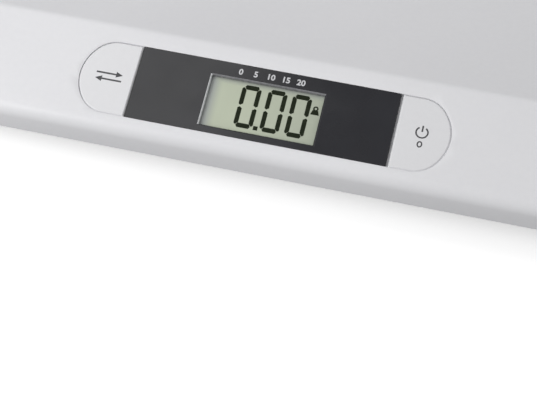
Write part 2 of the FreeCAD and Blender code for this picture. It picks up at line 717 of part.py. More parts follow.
def clip_outline(sketch, across, along, play="0"):
    """A clip at each end of the seat."""
    for side in ("-", "+"):
        outer = f"{across} {side} (Sizes.seat_length / 2 - Sizes.clip_thickness + {play})"
        inner = f"{across} {side} (Sizes.seat_length / 2 - 2 * Sizes.clip_thickness - {play})"
        low = f"{along} - Sizes.clip_width / 2 - {play}"
        high = f"{along} + Sizes.clip_width / 2 + {play}"
        polygon(sketch, [(inner, low), (outer, low), (outer, high), (inner, high)])


foot_seats = at_feet("foot_seats", seat_outline, "Sizes.base_height", "Places.cell_top")
seat_recesses = at_feet(
    "seat_recesses", seat_recess_outline, "Sizes.cell_height", "Places.cell_top + 1"
)
foot_holes = at_feet(
    "foot_holes", foot_hole_outline, "Sizes.base_height - 1", "Sizes.cell_height + 1"
)
clip_slots = at_feet(
    "clip_slots", lambda sketch, across, along: clip_outline(sketch, across, along, "0.15"),
    "Places.base_floor - 1", "Places.cell_top + 1",
)

screw_holes = housing_pins(
    "screw_holes", "Sizes.screw_size + 2 * Sizes.lip_gap", "Sizes.base_height - 1",
    "Places.base_floor + 1",
)


def compartment(name, margin, bottom, top):
    """Box about the battery compartment, wider than it by margin on each side."""
    length, breadth = f"Places.tub_length + 2 * {margin}", f"Places.tub_breadth + 2 * {margin}"

    def draw(sketch):
        block(sketch, length, breadth, "0", "Sizes.battery_y")
    return upright(name, draw, bottom, top)


door_top = "Sizes.base_height + Sizes.door_thickness"
tub_outside = compartment(
    "tub_outside", "(Sizes.door_ledge + Sizes.tub_wall)", "Sizes.base_height",
    "Places.tub_top + Sizes.tub_wall",
)
tub_hollow = compartment("tub_hollow", "0", "Sizes.base_height - 1", "Places.tub_top")
door_recess = compartment(
    "door_recess", "Sizes.door_ledge", "Sizes.base_height - 1", door_top
)


def tab_blocks(name, play, length, bottom, top):
    """Blocks at the rear edge of the battery door, one on each side."""
    def draw(sketch):
        for side in ("", "-"):
            middle = f"({side}Places.tub_length / 4)"
            low = f"{middle} - Sizes.tab_width / 2 - {play}"
            high = f"{middle} + Sizes.tab_width / 2 + {play}"
            near, far = "Places.door_back_y - Sizes.door_ledge", f"Places.door_back_y + {length}"
            polygon(sketch, [(low, near), (high, near), (high, far), (low, far)])
    return upright(name, draw, bottom, top)


# The slots are higher than the tabs by their length and cut the ledge through, so that the tabs
# can turn up in them about the door's lower rear edge.
tab_slots = tab_blocks(
    "tab_slots", "Sizes.door_gap", "Sizes.tab_length + Sizes.door_gap",
    door_top + " - Sizes.tab_thickness - Sizes.door_gap / 2",
    door_top + " + Sizes.tab_length",
)
base_solid = boolean("MultiFuse", "base_solid", base_pan, foot_seats, tub_outside)
keep(boolean(
    "Cut", "base_shell", base_solid, seat_recesses, foot_holes, clip_slots, screw_holes,
    tub_hollow, door_recess, tab_slots,
))


# ---------------------------------------------------------------- display
def window_outline(sketch):
    rounded_rectangle(sketch, "Sizes.window_width", "Sizes.panel_height", "Sizes.window_corner")
    block(sketch, "Sizes.opening_width", "Sizes.opening_height", "0", "-Sizes.opening_drop")


def on_opening_edge(edge):
    """The front edges of the opening over the display."""
    box = edge.BoundBox
    return max(abs(box.XMin), abs(box.XMax)) < sizes.opening_width / 2 + 0.1 and box.ZMin > -0.01


window = keep(panel_solid("display_window", window_outline, "0", "Sizes.window_thickness"))
finish_edges(window, "Chamfer", "Sizes.opening_bevel", on_opening_edge)


def tape_outline(sketch):
    block(sketch, "Sizes.window_width - 1", "Sizes.panel_height - 1")
    block(sketch, "Sizes.glass_width + 1", "Sizes.glass_height + 1", "0", "-Sizes.opening_drop")


keep(panel_solid("window_tape", tape_outline, "Sizes.window_thickness", "Places.ledge_top"))


def glass_outline(sketch):
    block(sketch, "Sizes.glass_width", "Sizes.glass_height", "0", "-Sizes.opening_drop")


keep(panel_solid("display_glass", glass_outline, "Places.glass_top", "Places.glass_bottom"))


def strip_outline(sketch, play):
    for edge in ("+", "-"):
        block(
            sketch, f"Sizes.strip_length + 2 * {play}", f"Sizes.strip_width + 2 * {play}",
            "0", f"-Sizes.opening_drop {edge} Sizes.strip_spacing / 2",
        )


def holder_outline(sketch):
    side = "Sizes.glass_width + 2 * Sizes.holder_wall"
    height = "Sizes.strip_spacing + Sizes.strip_width + Sizes.holder_wall + 1"
    block(sketch, side, height, "0", "-Sizes.opening_drop")
    hollow = "Sizes.strip_spacing - Sizes.strip_width - 2 * Sizes.holder_wall"
    block(sketch, "Sizes.strip_length", hollow, "0", "-Sizes.opening_drop")
    strip_outline(sketch, "0.2")


keep(panel_solid("display_holder", holder_outline, "Places.glass_bottom", "Sizes.board_depth"))
keep(panel_solid(
    "contact_strips", lambda sketch: strip_outline(sketch, "0"), "Places.glass_bottom",
    "Sizes.board_depth",
))

# ---------------------------------------------------------------- circuit board
keep(panel_solid(
    "main_board", lambda sketch: block(sketch, "Sizes.board_length", "Sizes.board_height"),
    "Sizes.board_depth", board_back,
))


def chip_outline(sketch):
    block(sketch, "Sizes.chip_size", "Sizes.chip_size", "-Sizes.strip_spacing / 2", "0")


keep(panel_solid(
    "controller_chip", chip_outline, board_back, board_back + " + Sizes.chip_thickness"
))


def switch_outline(sketch, side):
    middle = f"{side}Places.button_middle"
    block(sketch, "Sizes.switch_width", "Sizes.switch_width", middle, "0")


def plunger_outline(sketch, side, play):
    middle, width = f"{side}Places.button_middle", f"Sizes.plunger_size + 2 * {play}"
    block(sketch, width, width, middle, "0")


switch_top = "(Sizes.board_depth - Sizes.switch_height)"
bore_end = "(Sizes.board_depth - Sizes.switch_floor)"
for name, side in (("unit", "-"), ("tare", "")):
    switch_case = panel_solid(
        name + "_switch_case", lambda sketch: switch_outline(sketch, side), switch_top,
        "Sizes.board_depth",
    )
    switch_bore = panel_solid(
        name + "_switch_bore", lambda sketch: plunger_outline(sketch, side, "Sizes.plunger_play"),
        switch_top + " - 1", bore_end,
    )
    keep(boolean("Cut", name + "_switch", switch_case, switch_bore))
    keep(panel_solid(
        name + "_switch_plunger", lambda sketch: plunger_outline(sketch, side, "0"),
        "Sizes.stem_bottom", bore_end + " - 2 * Sizes.button_travel",
    ))


# ---------------------------------------------------------------- buttons
def button(name, turned):
    """Hollow cap with a stop flange on its straight sides, a bevelled face and a stem."""
    body = new_body(name)
    foot = "(Places.flange_top + Sizes.button_flange)"
    flange = new_sketch(body, "XY_Plane", f"-{foot}")
    inner, outer = "Sizes.button_start - Sizes.button_flange", "Places.button_turn"
    high = "(Sizes.panel_height / 2 + Sizes.button_flange)"
    polygon(flange, [(inner, f"-{high}"), (outer, f"-{high}"), (outer, high), (inner, high)])
    pad(body, flange, "Sizes.button_flange")
    cap = new_sketch(body, "XY_Plane", "-Places.flange_top")
    button_outline(cap, "Sizes.button_start", "0")
    pad(body, cap, "Places.flange_top")
    finish_edges(body, "Chamfer", "Sizes.button_edge", lambda edge: edge.BoundBox.ZMin > -0.01)
    hollow = new_sketch(body, "XY_Plane", f"-{foot}")
    button_outline(hollow, "Sizes.button_start + Sizes.button_wall", "(-Sizes.button_wall)")
    pocket(body, hollow, f"{foot} - Sizes.button_top")
    stem = new_sketch(body, "XY_Plane", "-Sizes.stem_bottom")
    block(stem, "Sizes.stem_size", "Sizes.stem_size", "Places.button_middle", "0")
    pad(body, stem, "Sizes.stem_bottom - Sizes.button_top")
    return on_panel(body, turned)


keep(button("unit_button", True))
keep(button("tare_button", False))


# ---------------------------------------------------------------- feet and load cells
def revolved(name, profile, across, along, up="0"):
    """A round piece turned from a half profile of (radius, height) corners."""
    body = new_body(name)
    sketch = new_sketch(body, "XZ_Plane")
    polygon(sketch, profile)
    revolve(body, sketch)
    return place(body, across, along, up)


def rubber_foot(spot, across, along):
    """Round foot with a square socket in its top."""
    body = new_body("foot_" + spot)
    disc = new_sketch(body)
    circle(disc, "0", "0", "Sizes.foot_size / 2")
    pad(body, disc, "Sizes.foot_top")
    socket = new_sketch(body, "XY_Plane", "Sizes.foot_top - Sizes.socket_depth")
    block(socket, "Sizes.hub_size", "Sizes.hub_size")
    pocket(body, socket, "Sizes.socket_depth")
    return place(body, across, along)


def foot_hub(spot, across, along):
    """Block that stands in the rubber foot and carries the load cell's tongue."""
    body = upright(
        "foot_hub_" + spot, lambda sketch: block(sketch, "Sizes.hub_size", "Sizes.hub_size"),
        "Sizes.foot_top - Sizes.socket_depth", "Sizes.cell_height",
    )
    return place(body, across, along)


def load_cell(spot, across, along):
    """Square steel plate with a tongue cut free on three sides."""
    half, slot = "Sizes.cell_tongue / 2", "Sizes.cell_slot"
    reach = "Sizes.cell_size / 4"
    outer, deep = f"{half} + {slot}", f"({reach} + {slot})"

    def draw(sketch):
        block(sketch, "Sizes.cell_size", "Sizes.cell_size")
        polygon(sketch, [
            (f"-{half}", f"-{reach}"), (f"-({outer})", f"-{reach}"), (f"-({outer})", deep),
            (outer, deep), (outer, f"-{reach}"), (half, f"-{reach}"),
            (half, reach), (f"-{half}", reach),
        ])
    body = upright("load_cell_" + spot, draw, "Sizes.cell_height", "Places.cell_top")
    return place(body, across, along)


def retainer(spot, across, along):
    """Frame that holds a load cell down, with a clip at each end."""
    body = new_body("retainer_" + spot)
    frame = new_sketch(body, "XY_Plane", "Places.cell_top")
    block(frame, "Sizes.seat_length", "Sizes.seat_depth")
    block(frame, "Sizes.cell_size - 2 * Sizes.cell_slot", "Sizes.cell_size - 2 * Sizes.cell_slot")
    pad(body, frame, "Sizes.retainer_thickness")
    clips = new_sketch(body, "XY_Plane", "Places.base_floor")
    clip_outline(clips, "0", "0")
    pad(body, clips, "Places.cell_top - Places.base_floor")
    return place(body, across, along)


for spot, (across, along) in foot_spots.items():
    keep(rubber_foot(spot, across, along))
    keep(foot_hub(spot, across, along))
    keep(load_cell(spot, across, along))
    keep(retainer(spot, across, along))


# ---------------------------------------------------------------- batteries, contacts and door
cell_offsets = ("-Sizes.battery_pitch / 2", "Sizes.battery_pitch / 2")


def battery(number_from_left, across, nub_turn):
    """Round cell lying along Y with its nub at one end."""
    body = new_body("battery_%d" % number_from_left)
    sketch = new_sketch(body, "XZ_Plane")
    half, nub = "Sizes.battery_size / 2", "Sizes.battery_size / 6"
    low = "-Sizes.battery_length / 2 - Sizes.battery_nub / 2"
    tip = "Sizes.battery_length / 2 + Sizes.battery_nub / 2"
    shoulder = "Sizes.battery_length / 2 - Sizes.battery_nub / 2"
    polygon(sketch, [("0", low), (half, low), (half, shoulder), (nub, shoulder), (nub, tip), ("0", tip)])
    revolve(body, sketch)
    place(body, across, "Sizes.battery_y", "Places.battery_axis_z")
    turn = "create(<<rotation>>; create(<<vector>>; 1; 0; 0); %d)" % nub_turn
    body.setExpression("Placement.Rotation", turn)
    return body


keep(battery(1, cell_offsets[0], 90))
keep(battery(2, cell_offsets[1], -90))


def contacts(name, side):
    """A bent leaf spring for each cell, on one end wall of the compartment."""
    body = new_body(name)
    wall = f"(Sizes.battery_y {side} Places.tub_breadth / 2)"
    inward = "-" if side == "+" else "+"
    inner = f"{wall} {inward} Sizes.contact_thickness"
    face = f"{wall} {inward} Sizes.battery_margin"
    back = f"{wall} {inward} (Sizes.battery_margin - Sizes.contact_thickness)"
    low = door_top + " + Sizes.contact_thickness"
    bend = low + " + Sizes.contact_thickness"
    tip = "Places.battery_axis_z + Sizes.battery_size / 4"
    for across in cell_offsets:
        sketch = new_sketch(body, "YZ_Plane", f"{across} - Sizes.battery_size / 4")
        polygon(sketch, [
            (wall, low), (face, low), (face, tip), (back, tip), (back, bend), (inner, bend),
            (inner, "Places.tub_top"), (wall, "Places.tub_top"),
        ])
        pad(body, sketch, "Sizes.battery_size / 2")
    return body


keep(contacts("contacts_front", "-"))
keep(contacts("contacts_rear", "+"))


def battery_door():
    """Plate with two tabs at the rear, where it turns, and a latch in front."""
    body = new_body("battery_door")
    front, back = "(Places.door_front_y + Sizes.door_gap)", "(Places.door_back_y - Sizes.door_gap)"
    plate = new_sketch(body, "XY_Plane", "Sizes.base_height")
    side = "(Places.tub_length / 2 + Sizes.door_ledge - Sizes.door_gap)"
    polygon(plate, [("-" + side, front), (side, front), (side, back), ("-" + side, back)])
    pad(body, plate, "Sizes.door_thickness")
    tabs = new_sketch(body, "XY_Plane", door_top + " - Sizes.tab_thickness")
    near, far = back + " - Sizes.tab_length", "Places.door_back_y + Sizes.tab_length"
    for side in ("", "-"):
        left = f"({side}Places.tub_length / 4) - Sizes.tab_width / 2"
        right = f"({side}Places.tub_length / 4) + Sizes.tab_width / 2"
        polygon(tabs, [(left, near), (right, near), (right, far), (left, far)])
    pad(body, tabs, "Sizes.tab_thickness")
    latch = new_sketch(body, "XY_Plane", door_top)
    latch_y = "Sizes.battery_y - Places.tub_breadth / 2 + Sizes.door_gap + Sizes.latch_thickness / 2"
    block(latch, "Sizes.latch_width", "Sizes.latch_thickness", "0", latch_y)
    pad(body, latch, "Sizes.latch_height")
    return body


keep(battery_door())


# ---------------------------------------------------------------- housing screws
def screw(index, across, along):
    head, shank = "Sizes.screw_head / 2", "Sizes.screw_size / 2"
    low, neck = "Sizes.base_height - Sizes.screw_head_height", "Sizes.base_height"
    top = "Sizes.base_height + Sizes.screw_reach"
    profile = [("0", low), (head, low), (head, neck), (shank, neck), (shank, top), ("0", top)]
    return revolved("screw_%d" % index, profile, across, along)


screws = doc.addObject("Part::Compound", "housing_screws")
screws.Links = [screw(index, *spot) for index, spot in enumerate(screw_spots)]
keep(screws)

# ---------------------------------------------------------------- write the sub-parts
doc.recompute()
for item in doc.Objects:
    if {"Invalid", "Error"} & set(item.State):
        raise RuntimeError("%s failed: %s" % (item.Name, item.State))
for item in parts:
    if item.Shape.isNull() or not item.Shape.isValid():
        raise RuntimeError("%s has no valid shape" % item.Label)
os.makedirs("parts", exist_ok=True)
for item in parts:
    item.Shape.exportStep("parts/%s.step" % item.Label)
print("%d sub-parts written" % len(parts))
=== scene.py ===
import json
import math

import bpy
from mathutils import Matrix, Vector


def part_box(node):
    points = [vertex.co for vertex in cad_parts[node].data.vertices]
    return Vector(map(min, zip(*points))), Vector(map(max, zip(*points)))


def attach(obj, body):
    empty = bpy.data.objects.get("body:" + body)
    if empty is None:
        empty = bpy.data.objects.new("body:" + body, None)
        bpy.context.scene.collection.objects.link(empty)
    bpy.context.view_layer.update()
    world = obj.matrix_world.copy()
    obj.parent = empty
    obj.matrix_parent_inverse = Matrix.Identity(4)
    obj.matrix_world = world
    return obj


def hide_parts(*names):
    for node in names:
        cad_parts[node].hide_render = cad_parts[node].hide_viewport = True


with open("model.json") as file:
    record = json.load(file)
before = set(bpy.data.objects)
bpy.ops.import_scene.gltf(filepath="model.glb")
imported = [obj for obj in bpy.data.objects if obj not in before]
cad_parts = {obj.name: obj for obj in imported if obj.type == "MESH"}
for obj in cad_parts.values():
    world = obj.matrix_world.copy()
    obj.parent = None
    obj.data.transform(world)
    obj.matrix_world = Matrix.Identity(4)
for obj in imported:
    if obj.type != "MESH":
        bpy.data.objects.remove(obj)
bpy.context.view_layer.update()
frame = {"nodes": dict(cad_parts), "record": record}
nodes = frame["nodes"]
record = frame["record"]
slotOf = {part["node"]: part["material_slot"] for part in record["subparts"]}
print("frame loaded:", len(nodes), "nodes")


# general helpers
def clearSelection():
    if bpy.context.object and bpy.context.object.mode != "OBJECT":
        bpy.ops.object.mode_set(mode="OBJECT")
    bpy.ops.object.select_all(action="DESELECT")


def pick(piece):
    clearSelection()
    piece.select_set(True)
    bpy.context.view_layer.objects.active = piece


def nameLast(name):
    piece = bpy.context.object
    piece.name = name
    piece.data.name = name
    return piece


def settle(piece):  # the place goes into the mesh, the object to the origin
    pick(piece)
    bpy.ops.object.transform_apply(location=True, rotation=True, scale=True)


def joinPieces(pieces, name):
    pick(pieces[0])
    for piece in pieces[1:]:
        piece.select_set(True)
    bpy.ops.object.join()
    return nameLast(name)


def ownCopy(piece):  # a copy with its own mesh
    other = piece.copy()
    other.data = piece.data.copy()
    bpy.context.collection.objects.link(other)
    return other


def applyModifier(piece, modifier):
    pick(piece)
    bpy.ops.object.modifier_apply(modifier=modifier.name)


def bevelEdges(piece, width, steps, degrees):  # rounds all edges sharper than the angle
    edges = piece.modifiers.new("edges", "BEVEL")
    edges.width = width
    edges.segments = steps
    edges.limit_method = "ANGLE"
    edges.angle_limit = math.radians(degrees)
    applyModifier(piece, edges)


def smoothBelow(piece, degrees):
    pick(piece)
    bpy.ops.object.shade_smooth_by_angle(angle=math.radians(degrees))


def bodyOf(node):
    for body, members in record["behaviour"]["bodies"].items():
        if node in members:
            return body
    return "housing"


# the sloping panel on the front rim: its middle and its tilt
panelPlace = {"middle": Vector((0, -0.14085, 0.04447)), "tilt": math.radians(15)}
fromPanel = Matrix.Translation(panelPlace["middle"]) @ Matrix.Rotation(panelPlace["tilt"], 4, "X")
toPanel = fromPanel.inverted()


def ontoPanel(piece):  # from flat on the ground plane to the panel's face
    piece.matrix_world = fromPanel @ piece.matrix_world
    settle(piece)


# camera: azimuth and elevation of the line of sight, and where the panel's middle falls
cameraView = {
    "azimuth": math.radians(13.9),
    "elevation": math.radians(52.6),
    "distance": 0.709,
    "focalPixels": 1600,
    "imageWidth": 537,
    "imageHeight": 410,
    "panelPixel": (262.35, 105.18),
    "sensor": 36,
    "clip": (0.01, 50),
}


def makeCamera(view):
    turn, rise = view["azimuth"], view["elevation"]
    back = Vector((math.sin(turn) * math.cos(rise), -math.cos(turn) * math.cos(rise), math.sin(rise)))
    right = Vector((math.cos(turn), math.sin(turn), 0))
    up = back.cross(right)
    across = (view["panelPixel"][0] - view["imageWidth"] / 2) / view["focalPixels"] * view["distance"]
    along = (view["imageHeight"] / 2 - view["panelPixel"][1]) / view["focalPixels"] * view["distance"]
    bpy.ops.object.camera_add()
    camera = nameLast("sceneCamera")
    camera.data.sensor_width = view["sensor"]
    camera.data.lens = view["focalPixels"] / view["imageWidth"] * view["sensor"]
    camera.data.clip_start, camera.data.clip_end = view["clip"]
    place = panelPlace["middle"] - across * right - along * up + view["distance"] * back
    camera.matrix_world = Matrix.Translation(place) @ Matrix((right, up, back)).transposed().to_4x4()
    bpy.context.scene.camera = camera


clearSelection()
makeCamera(cameraView)
print("camera placed")


# shader helpers: a number or a colour is set on a socket, an output is linked to it
def feed(tree, socket, value):
    if isinstance(value, (int, float, tuple)):
        socket.default_value = value
    else:
        tree.links.new(value, socket)


def addNoise(tree, coordinates, scale, detail):
    noise = tree.nodes.new("ShaderNodeTexNoise")
    feed(tree, noise.inputs["Vector"], coordinates)
    feed(tree, noise.inputs["Scale"], scale)
    feed(tree, noise.inputs["Detail"], detail)
    return noise.outputs["Fac"]


def addMath(tree, operation, first, second):
    node = tree.nodes.new("ShaderNodeMath")
    node.operation = operation
    feed(tree, node.inputs[0], first)
    feed(tree, node.inputs[1], second)
    return node.outputs["Value"]


def addMix(tree, factor, first, second):
    node = tree.nodes.new("ShaderNodeMix")
    node.data_type = "RGBA"
    for name, value in (("Factor", factor), ("A", first), ("B", second)):
        feed(tree, [socket for socket in node.inputs if socket.name == name and socket.enabled][0], value)
    return [socket for socket in node.outputs if socket.enabled][0]


def addRange(tree, value, span, start=0, end=1, kind="LINEAR"):  # a span of the value, put from start to end
    node = tree.nodes.new("ShaderNodeMapRange")
    node.interpolation_type = kind
    feed(tree, node.inputs["Value"], value)
    feed(tree, node.inputs["From Min"], span[0])
    feed(tree, node.inputs["From Max"], span[1])
    feed(tree, node.inputs["To Min"], start)
    feed(tree, node.inputs["To Max"], end)
    return node.outputs["Result"]


def addPatches(tree, coordinates, patches, start=0, end=1):  # patches: scale, detail and span of the noise
    scale, detail, span = patches
    return addRange(tree, addNoise(tree, coordinates, scale, detail), span, start, end)


def addSplit(tree, coordinates):
    split = tree.nodes.new("ShaderNodeSeparateXYZ")
    feed(tree, split.inputs["Vector"], coordinates)
    return split.outputs


bumpReach = 0.0001  # height of a full bump, in metres


def addBump(tree, shader, height, strength, reach=bumpReach):
    bump = tree.nodes.new("ShaderNodeBump")
    feed(tree, bump.inputs["Strength"], strength)
    feed(tree, bump.inputs["Distance"], reach)
    feed(tree, bump.inputs["Height"], height)
    feed(tree, shader.inputs["Normal"], bump.outputs["Normal"])


# node groups that several finishes share
def newGroup(name, inputs, outputs):
    group = bpy.data.node_groups.new(name, "ShaderNodeTree")
    for label, kind, value in inputs:
        socket = group.interface.new_socket(name=label, in_out="INPUT", socket_type=kind)
        socket.default_value = value
    for label, kind in outputs:
        group.interface.new_socket(name=label, in_out="OUTPUT", socket_type=kind)
    source = group.nodes.new("NodeGroupInput")
    sink = group.nodes.new("NodeGroupOutput")
    return group, source, sink


# fine spark-eroded grain with a slow drift of tone and gloss
mouldDetail = {
    "drift": (9, 3), "driftShare": 0.7, "specks": (420, 2), "handled": (35, 4), "grain": 2,
    "span": (0.35, 0.65),
}


def makeMouldGroup(detail):
    group, source, sink = newGroup(
        "mouldGrain",
        [
            ("Coordinates", "NodeSocketVector", (0, 0, 0)),
            ("Tone", "NodeSocketColor", (0.8, 0.8, 0.8, 1)),
            ("Shade", "NodeSocketColor", (0.7, 0.7, 0.7, 1)),
            ("Grain Size", "NodeSocketFloat", 1800),
            ("Gloss Low", "NodeSocketFloat", 0.35),
            ("Gloss High", "NodeSocketFloat", 0.45),
        ],
        [("Color", "NodeSocketColor"), ("Roughness", "NodeSocketFloat"), ("Height", "NodeSocketFloat")],
    )
    place, share = source.outputs["Coordinates"], detail["driftShare"]
    drift = addMath(group, "MULTIPLY", addNoise(group, place, *detail["drift"]), share)
    specks = addMath(group, "MULTIPLY", addNoise(group, place, *detail["specks"]), 1 - share)
    tone = addRange(group, addMath(group, "ADD", drift, specks), detail["span"])
    feed(group, sink.inputs["Color"], addMix(group, tone, source.outputs["Shade"], source.outputs["Tone"]))
    handled = addNoise(group, place, *detail["handled"])
    gloss = addRange(
        group, handled, detail["span"], source.outputs["Gloss Low"], source.outputs["Gloss High"]
    )
    feed(group, sink.inputs["Roughness"], gloss)
    feed(group, sink.inputs["Height"], addNoise(group, place, source.outputs["Grain Size"], detail["grain"]))
    return group


# drawn metal: streaks along one way, and dull spots
metalDetail = {
    "stretch": (0.05, 1, 1), "streaks": 3, "spots": (160, 4), "span": (0.3, 0.7), "gloss": (0.26, 0.46),
}


def makeMetalGroup(detail):
    group, source, sink = newGroup(
        "drawnMetal",
        [
            ("Coordinates", "NodeSocketVector", (0, 0, 0)),
            ("Tone", "NodeSocketColor", (0.6, 0.6, 0.6, 1)),
            ("Shade", "NodeSocketColor", (0.4, 0.4, 0.4, 1)),
            ("Streaks", "NodeSocketFloat", 900),
        ],
        [("Color", "NodeSocketColor"), ("Roughness", "NodeSocketFloat"), ("Height", "NodeSocketFloat")],
    )
    place = source.outputs["Coordinates"]
    stretch = group.nodes.new("ShaderNodeMapping")
    feed(group, stretch.inputs["Scale"], detail["stretch"])
    feed(group, stretch.inputs["Vector"], place)
    streaks = addNoise(group, stretch.outputs["Vector"], source.outputs["Streaks"], detail["streaks"])
    spots = addNoise(group, place, *detail["spots"])
    feed(group, sink.inputs["Color"], addMix(group, spots, source.outputs["Tone"], source.outputs["Shade"]))
    feed(group, sink.inputs["Roughness"], addRange(group, streaks, detail["span"], *detail["gloss"]))
    feed(group, sink.inputs["Height"], streaks)
    return group


mouldGrain = makeMouldGroup(mouldDetail)
drawnMetal = makeMetalGroup(metalDetail)


def newFinish(name):
    finish = bpy.data.materials.new(name)
    finish.use_nodes = True
    tree = finish.node_tree
    coordinates = tree.nodes.new("ShaderNodeTexCoord").outputs["Object"]
    return finish, tree, tree.nodes["Principled BSDF"], coordinates


def groupFinish(name, group, values, bumpStrength):  # a finish whose look comes from a node group
    finish, tree, shader, coordinates = newFinish(name)
    node = tree.nodes.new("ShaderNodeGroup")
    node.node_tree = group
    feed(tree, node.inputs["Coordinates"], coordinates)
    for label, value in values.items():
        feed(tree, node.inputs[label], value)
    feed(tree, shader.inputs["Base Color"], node.outputs["Color"])
    feed(tree, shader.inputs["Roughness"], node.outputs["Roughness"])
    addBump(tree, shader, node.outputs["Height"], bumpStrength)
    return finish, shader


# moulded plastics and rubbers: tones, size and depth of the grain, and the span of the roughness
mouldedLooks = {
    "housing": {
        "tone": (0.765, 0.765, 0.785), "shade": (0.735, 0.735, 0.757), "grainSize": 2400,
        "grainDepth": 0.10, "gloss": (0.36, 0.44),
    },
    "housing_base": {
        "tone": (0.70, 0.70, 0.71), "shade": (0.66, 0.66, 0.675), "grainSize": 1500,
        "grainDepth": 0.28, "gloss": (0.50, 0.62),
    },
    "button": {
        "tone": (0.745, 0.745, 0.762), "shade": (0.72, 0.72, 0.738), "grainSize": 2800,
        "grainDepth": 0.07, "gloss": (0.30, 0.38),
    },
    "inner_plastic": {
        "tone": (0.70, 0.69, 0.66), "shade": (0.64, 0.63, 0.60), "grainSize": 1200,
        "grainDepth": 0.15, "gloss": (0.42, 0.55),
    },
    "tape": {
        "tone": (0.018, 0.018, 0.018), "shade": (0.010, 0.010, 0.010), "grainSize": 3000,
        "grainDepth": 0.6, "gloss": (0.80, 0.92),
    },
    "chip": {
        "tone": (0.016, 0.016, 0.017), "shade": (0.010, 0.010, 0.011), "grainSize": 4200,
        "grainDepth": 0.5, "gloss": (0.55, 0.70),
    },
    "switch": {
        "tone": (0.020, 0.020, 0.021), "shade": (0.012, 0.012, 0.013), "grainSize": 3000,
        "grainDepth": 0.3, "gloss": (0.40, 0.55),
    },
    "plunger": {
        "tone": (0.60, 0.52, 0.34), "shade": (0.52, 0.44, 0.28), "grainSize": 2600,
        "grainDepth": 0.2, "gloss": (0.35, 0.45),
    },
    "foot_rubber": {
        "tone": (0.030, 0.030, 0.032), "shade": (0.018, 0.018, 0.020), "grainSize": 1400,
        "grainDepth": 0.5, "gloss": (0.70, 0.85),
    },
    "hub_plastic": {
        "tone": (0.095, 0.095, 0.10), "shade": (0.07, 0.07, 0.075), "grainSize": 1800,
        "grainDepth": 0.25, "gloss": (0.45, 0.58),
    },
}
mouldedIor = 1.46


def mouldedFinish(name, look):
    values = {
        "Tone": (*look["tone"], 1),
        "Shade": (*look["shade"], 1),
        "Grain Size": look["grainSize"],
        "Gloss Low": look["gloss"][0],
        "Gloss High": look["gloss"][1],
    }
    finish, shader = groupFinish(name, mouldGrain, values, look["grainDepth"])
    shader.inputs["IOR"].default_value = mouldedIor
    return finish


# bare metals: tones and how close the streaks lie
metalLooks = {
    "sensor_steel": {"tone": (0.56, 0.57, 0.58), "shade": (0.40, 0.41, 0.42), "streaks": 700},
    "contact_metal": {"tone": (0.66, 0.64, 0.59), "shade": (0.50, 0.48, 0.43), "streaks": 1500},
    "screw_steel": {"tone": (0.54, 0.55, 0.57), "shade": (0.38, 0.39, 0.41), "streaks": 2200},
}
metalGrainDepth = 0.2


def metalFinish(name, look):
    values = {"Tone": (*look["tone"], 1), "Shade": (*look["shade"], 1), "Streaks": look["streaks"]}
    finish, shader = groupFinish(name, drawnMetal, values, metalGrainDepth)
    shader.inputs["Metallic"].default_value = 1
    return finish


# the smoked window: dark resin, polished, with faint dust and wiping marks
windowLook = {
    "deep": (0.0088, 0.0089, 0.0115, 1), "thin": (0.0140, 0.0144, 0.0195, 1), "clouds": (14, 3, (0.35, 0.65)),
    "gloss": (0.13, 0.20), "wiping": (60, 5, (0.35, 0.7)), "ior": 1.5, "dust": (900, 2), "dustDepth": 0.02,
}


def windowFinish(look):
    finish, tree, shader, coordinates = newFinish("window")
    tone = addMix(tree, addPatches(tree, coordinates, look["clouds"]), look["deep"], look["thin"])
    feed(tree, shader.inputs["Base Color"], tone)
    feed(tree, shader.inputs["Roughness"], addPatches(tree, coordinates, look["wiping"], *look["gloss"]))
    shader.inputs["IOR"].default_value = look["ior"]
    addBump(tree, shader, addNoise(tree, coordinates, *look["dust"]), look["dustDepth"])
    return finish


# resin round the window's opening with painted light: a painted highlight on its left walls and a painted
# grey sheen on its upper walls, both with milled marks
cutPaintedLight = {
    # painted highlight for the walls facing right
    "windowPaintedHighlight": {"tone": (0.88, 0.89, 0.91, 1), "shade": (0.80, 0.81, 0.83, 1)},
    # painted grey sheen for the walls facing the front
    "windowPaintedSheen": {"tone": (0.225, 0.225, 0.235, 1), "shade": (0.180, 0.180, 0.190, 1)},
}
cutDetail = {
    "marks": (500, 3), "toneSpan": (0.35, 0.65), "glossSpan": (0.3, 0.7), "gloss": (0.22, 0.34), "depth": 0.1,
}


def paintedCutFinish(name, look, detail):
    finish, tree, shader, coordinates = newFinish(name)
    marks = addNoise(tree, coordinates, *detail["marks"])
    tone = addMix(tree, addRange(tree, marks, detail["toneSpan"]), look["shade"], look["tone"])
    feed(tree, shader.inputs["Base Color"], tone)
    feed(tree, shader.inputs["Roughness"], addRange(tree, marks, detail["glossSpan"], *detail["gloss"]))
    addBump(tree, shader, marks, detail["depth"], bumpReach / 2)
    return finish


# the liquid crystal panel: a grey-green film with a very fine pixel tooth, with painted shade darkening it
# towards the right and a painted shadow of the opening's walls along its left and upper edge
displayLook = {
    "ground": (0.500, 0.545, 0.420, 1), "cloud": (0.475, 0.515, 0.400, 1), "clouds": (40, 3, (0.3, 0.7)),
    # painted shade: the film darkens towards the right
    "far": (0.400, 0.435, 0.350, 1), "fall": (-0.012, 0.028),
    # painted shadow of the opening's walls along the left and upper edge
    "wallShadowTone": (0.285, 0.303, 0.312, 1), "leftShadowSpan": (-0.0256, -0.0193), "leftShadowStrength": 0.88,
    "topShadowSpan": (0.0103, 0.0081), "topShadowStrength": 0.55, "level": -0.0021,
    "film": (3600, 1), "filmSpan": (0.3, 0.7), "gloss": (0.32, 0.42), "filmDepth": 0.06,
}


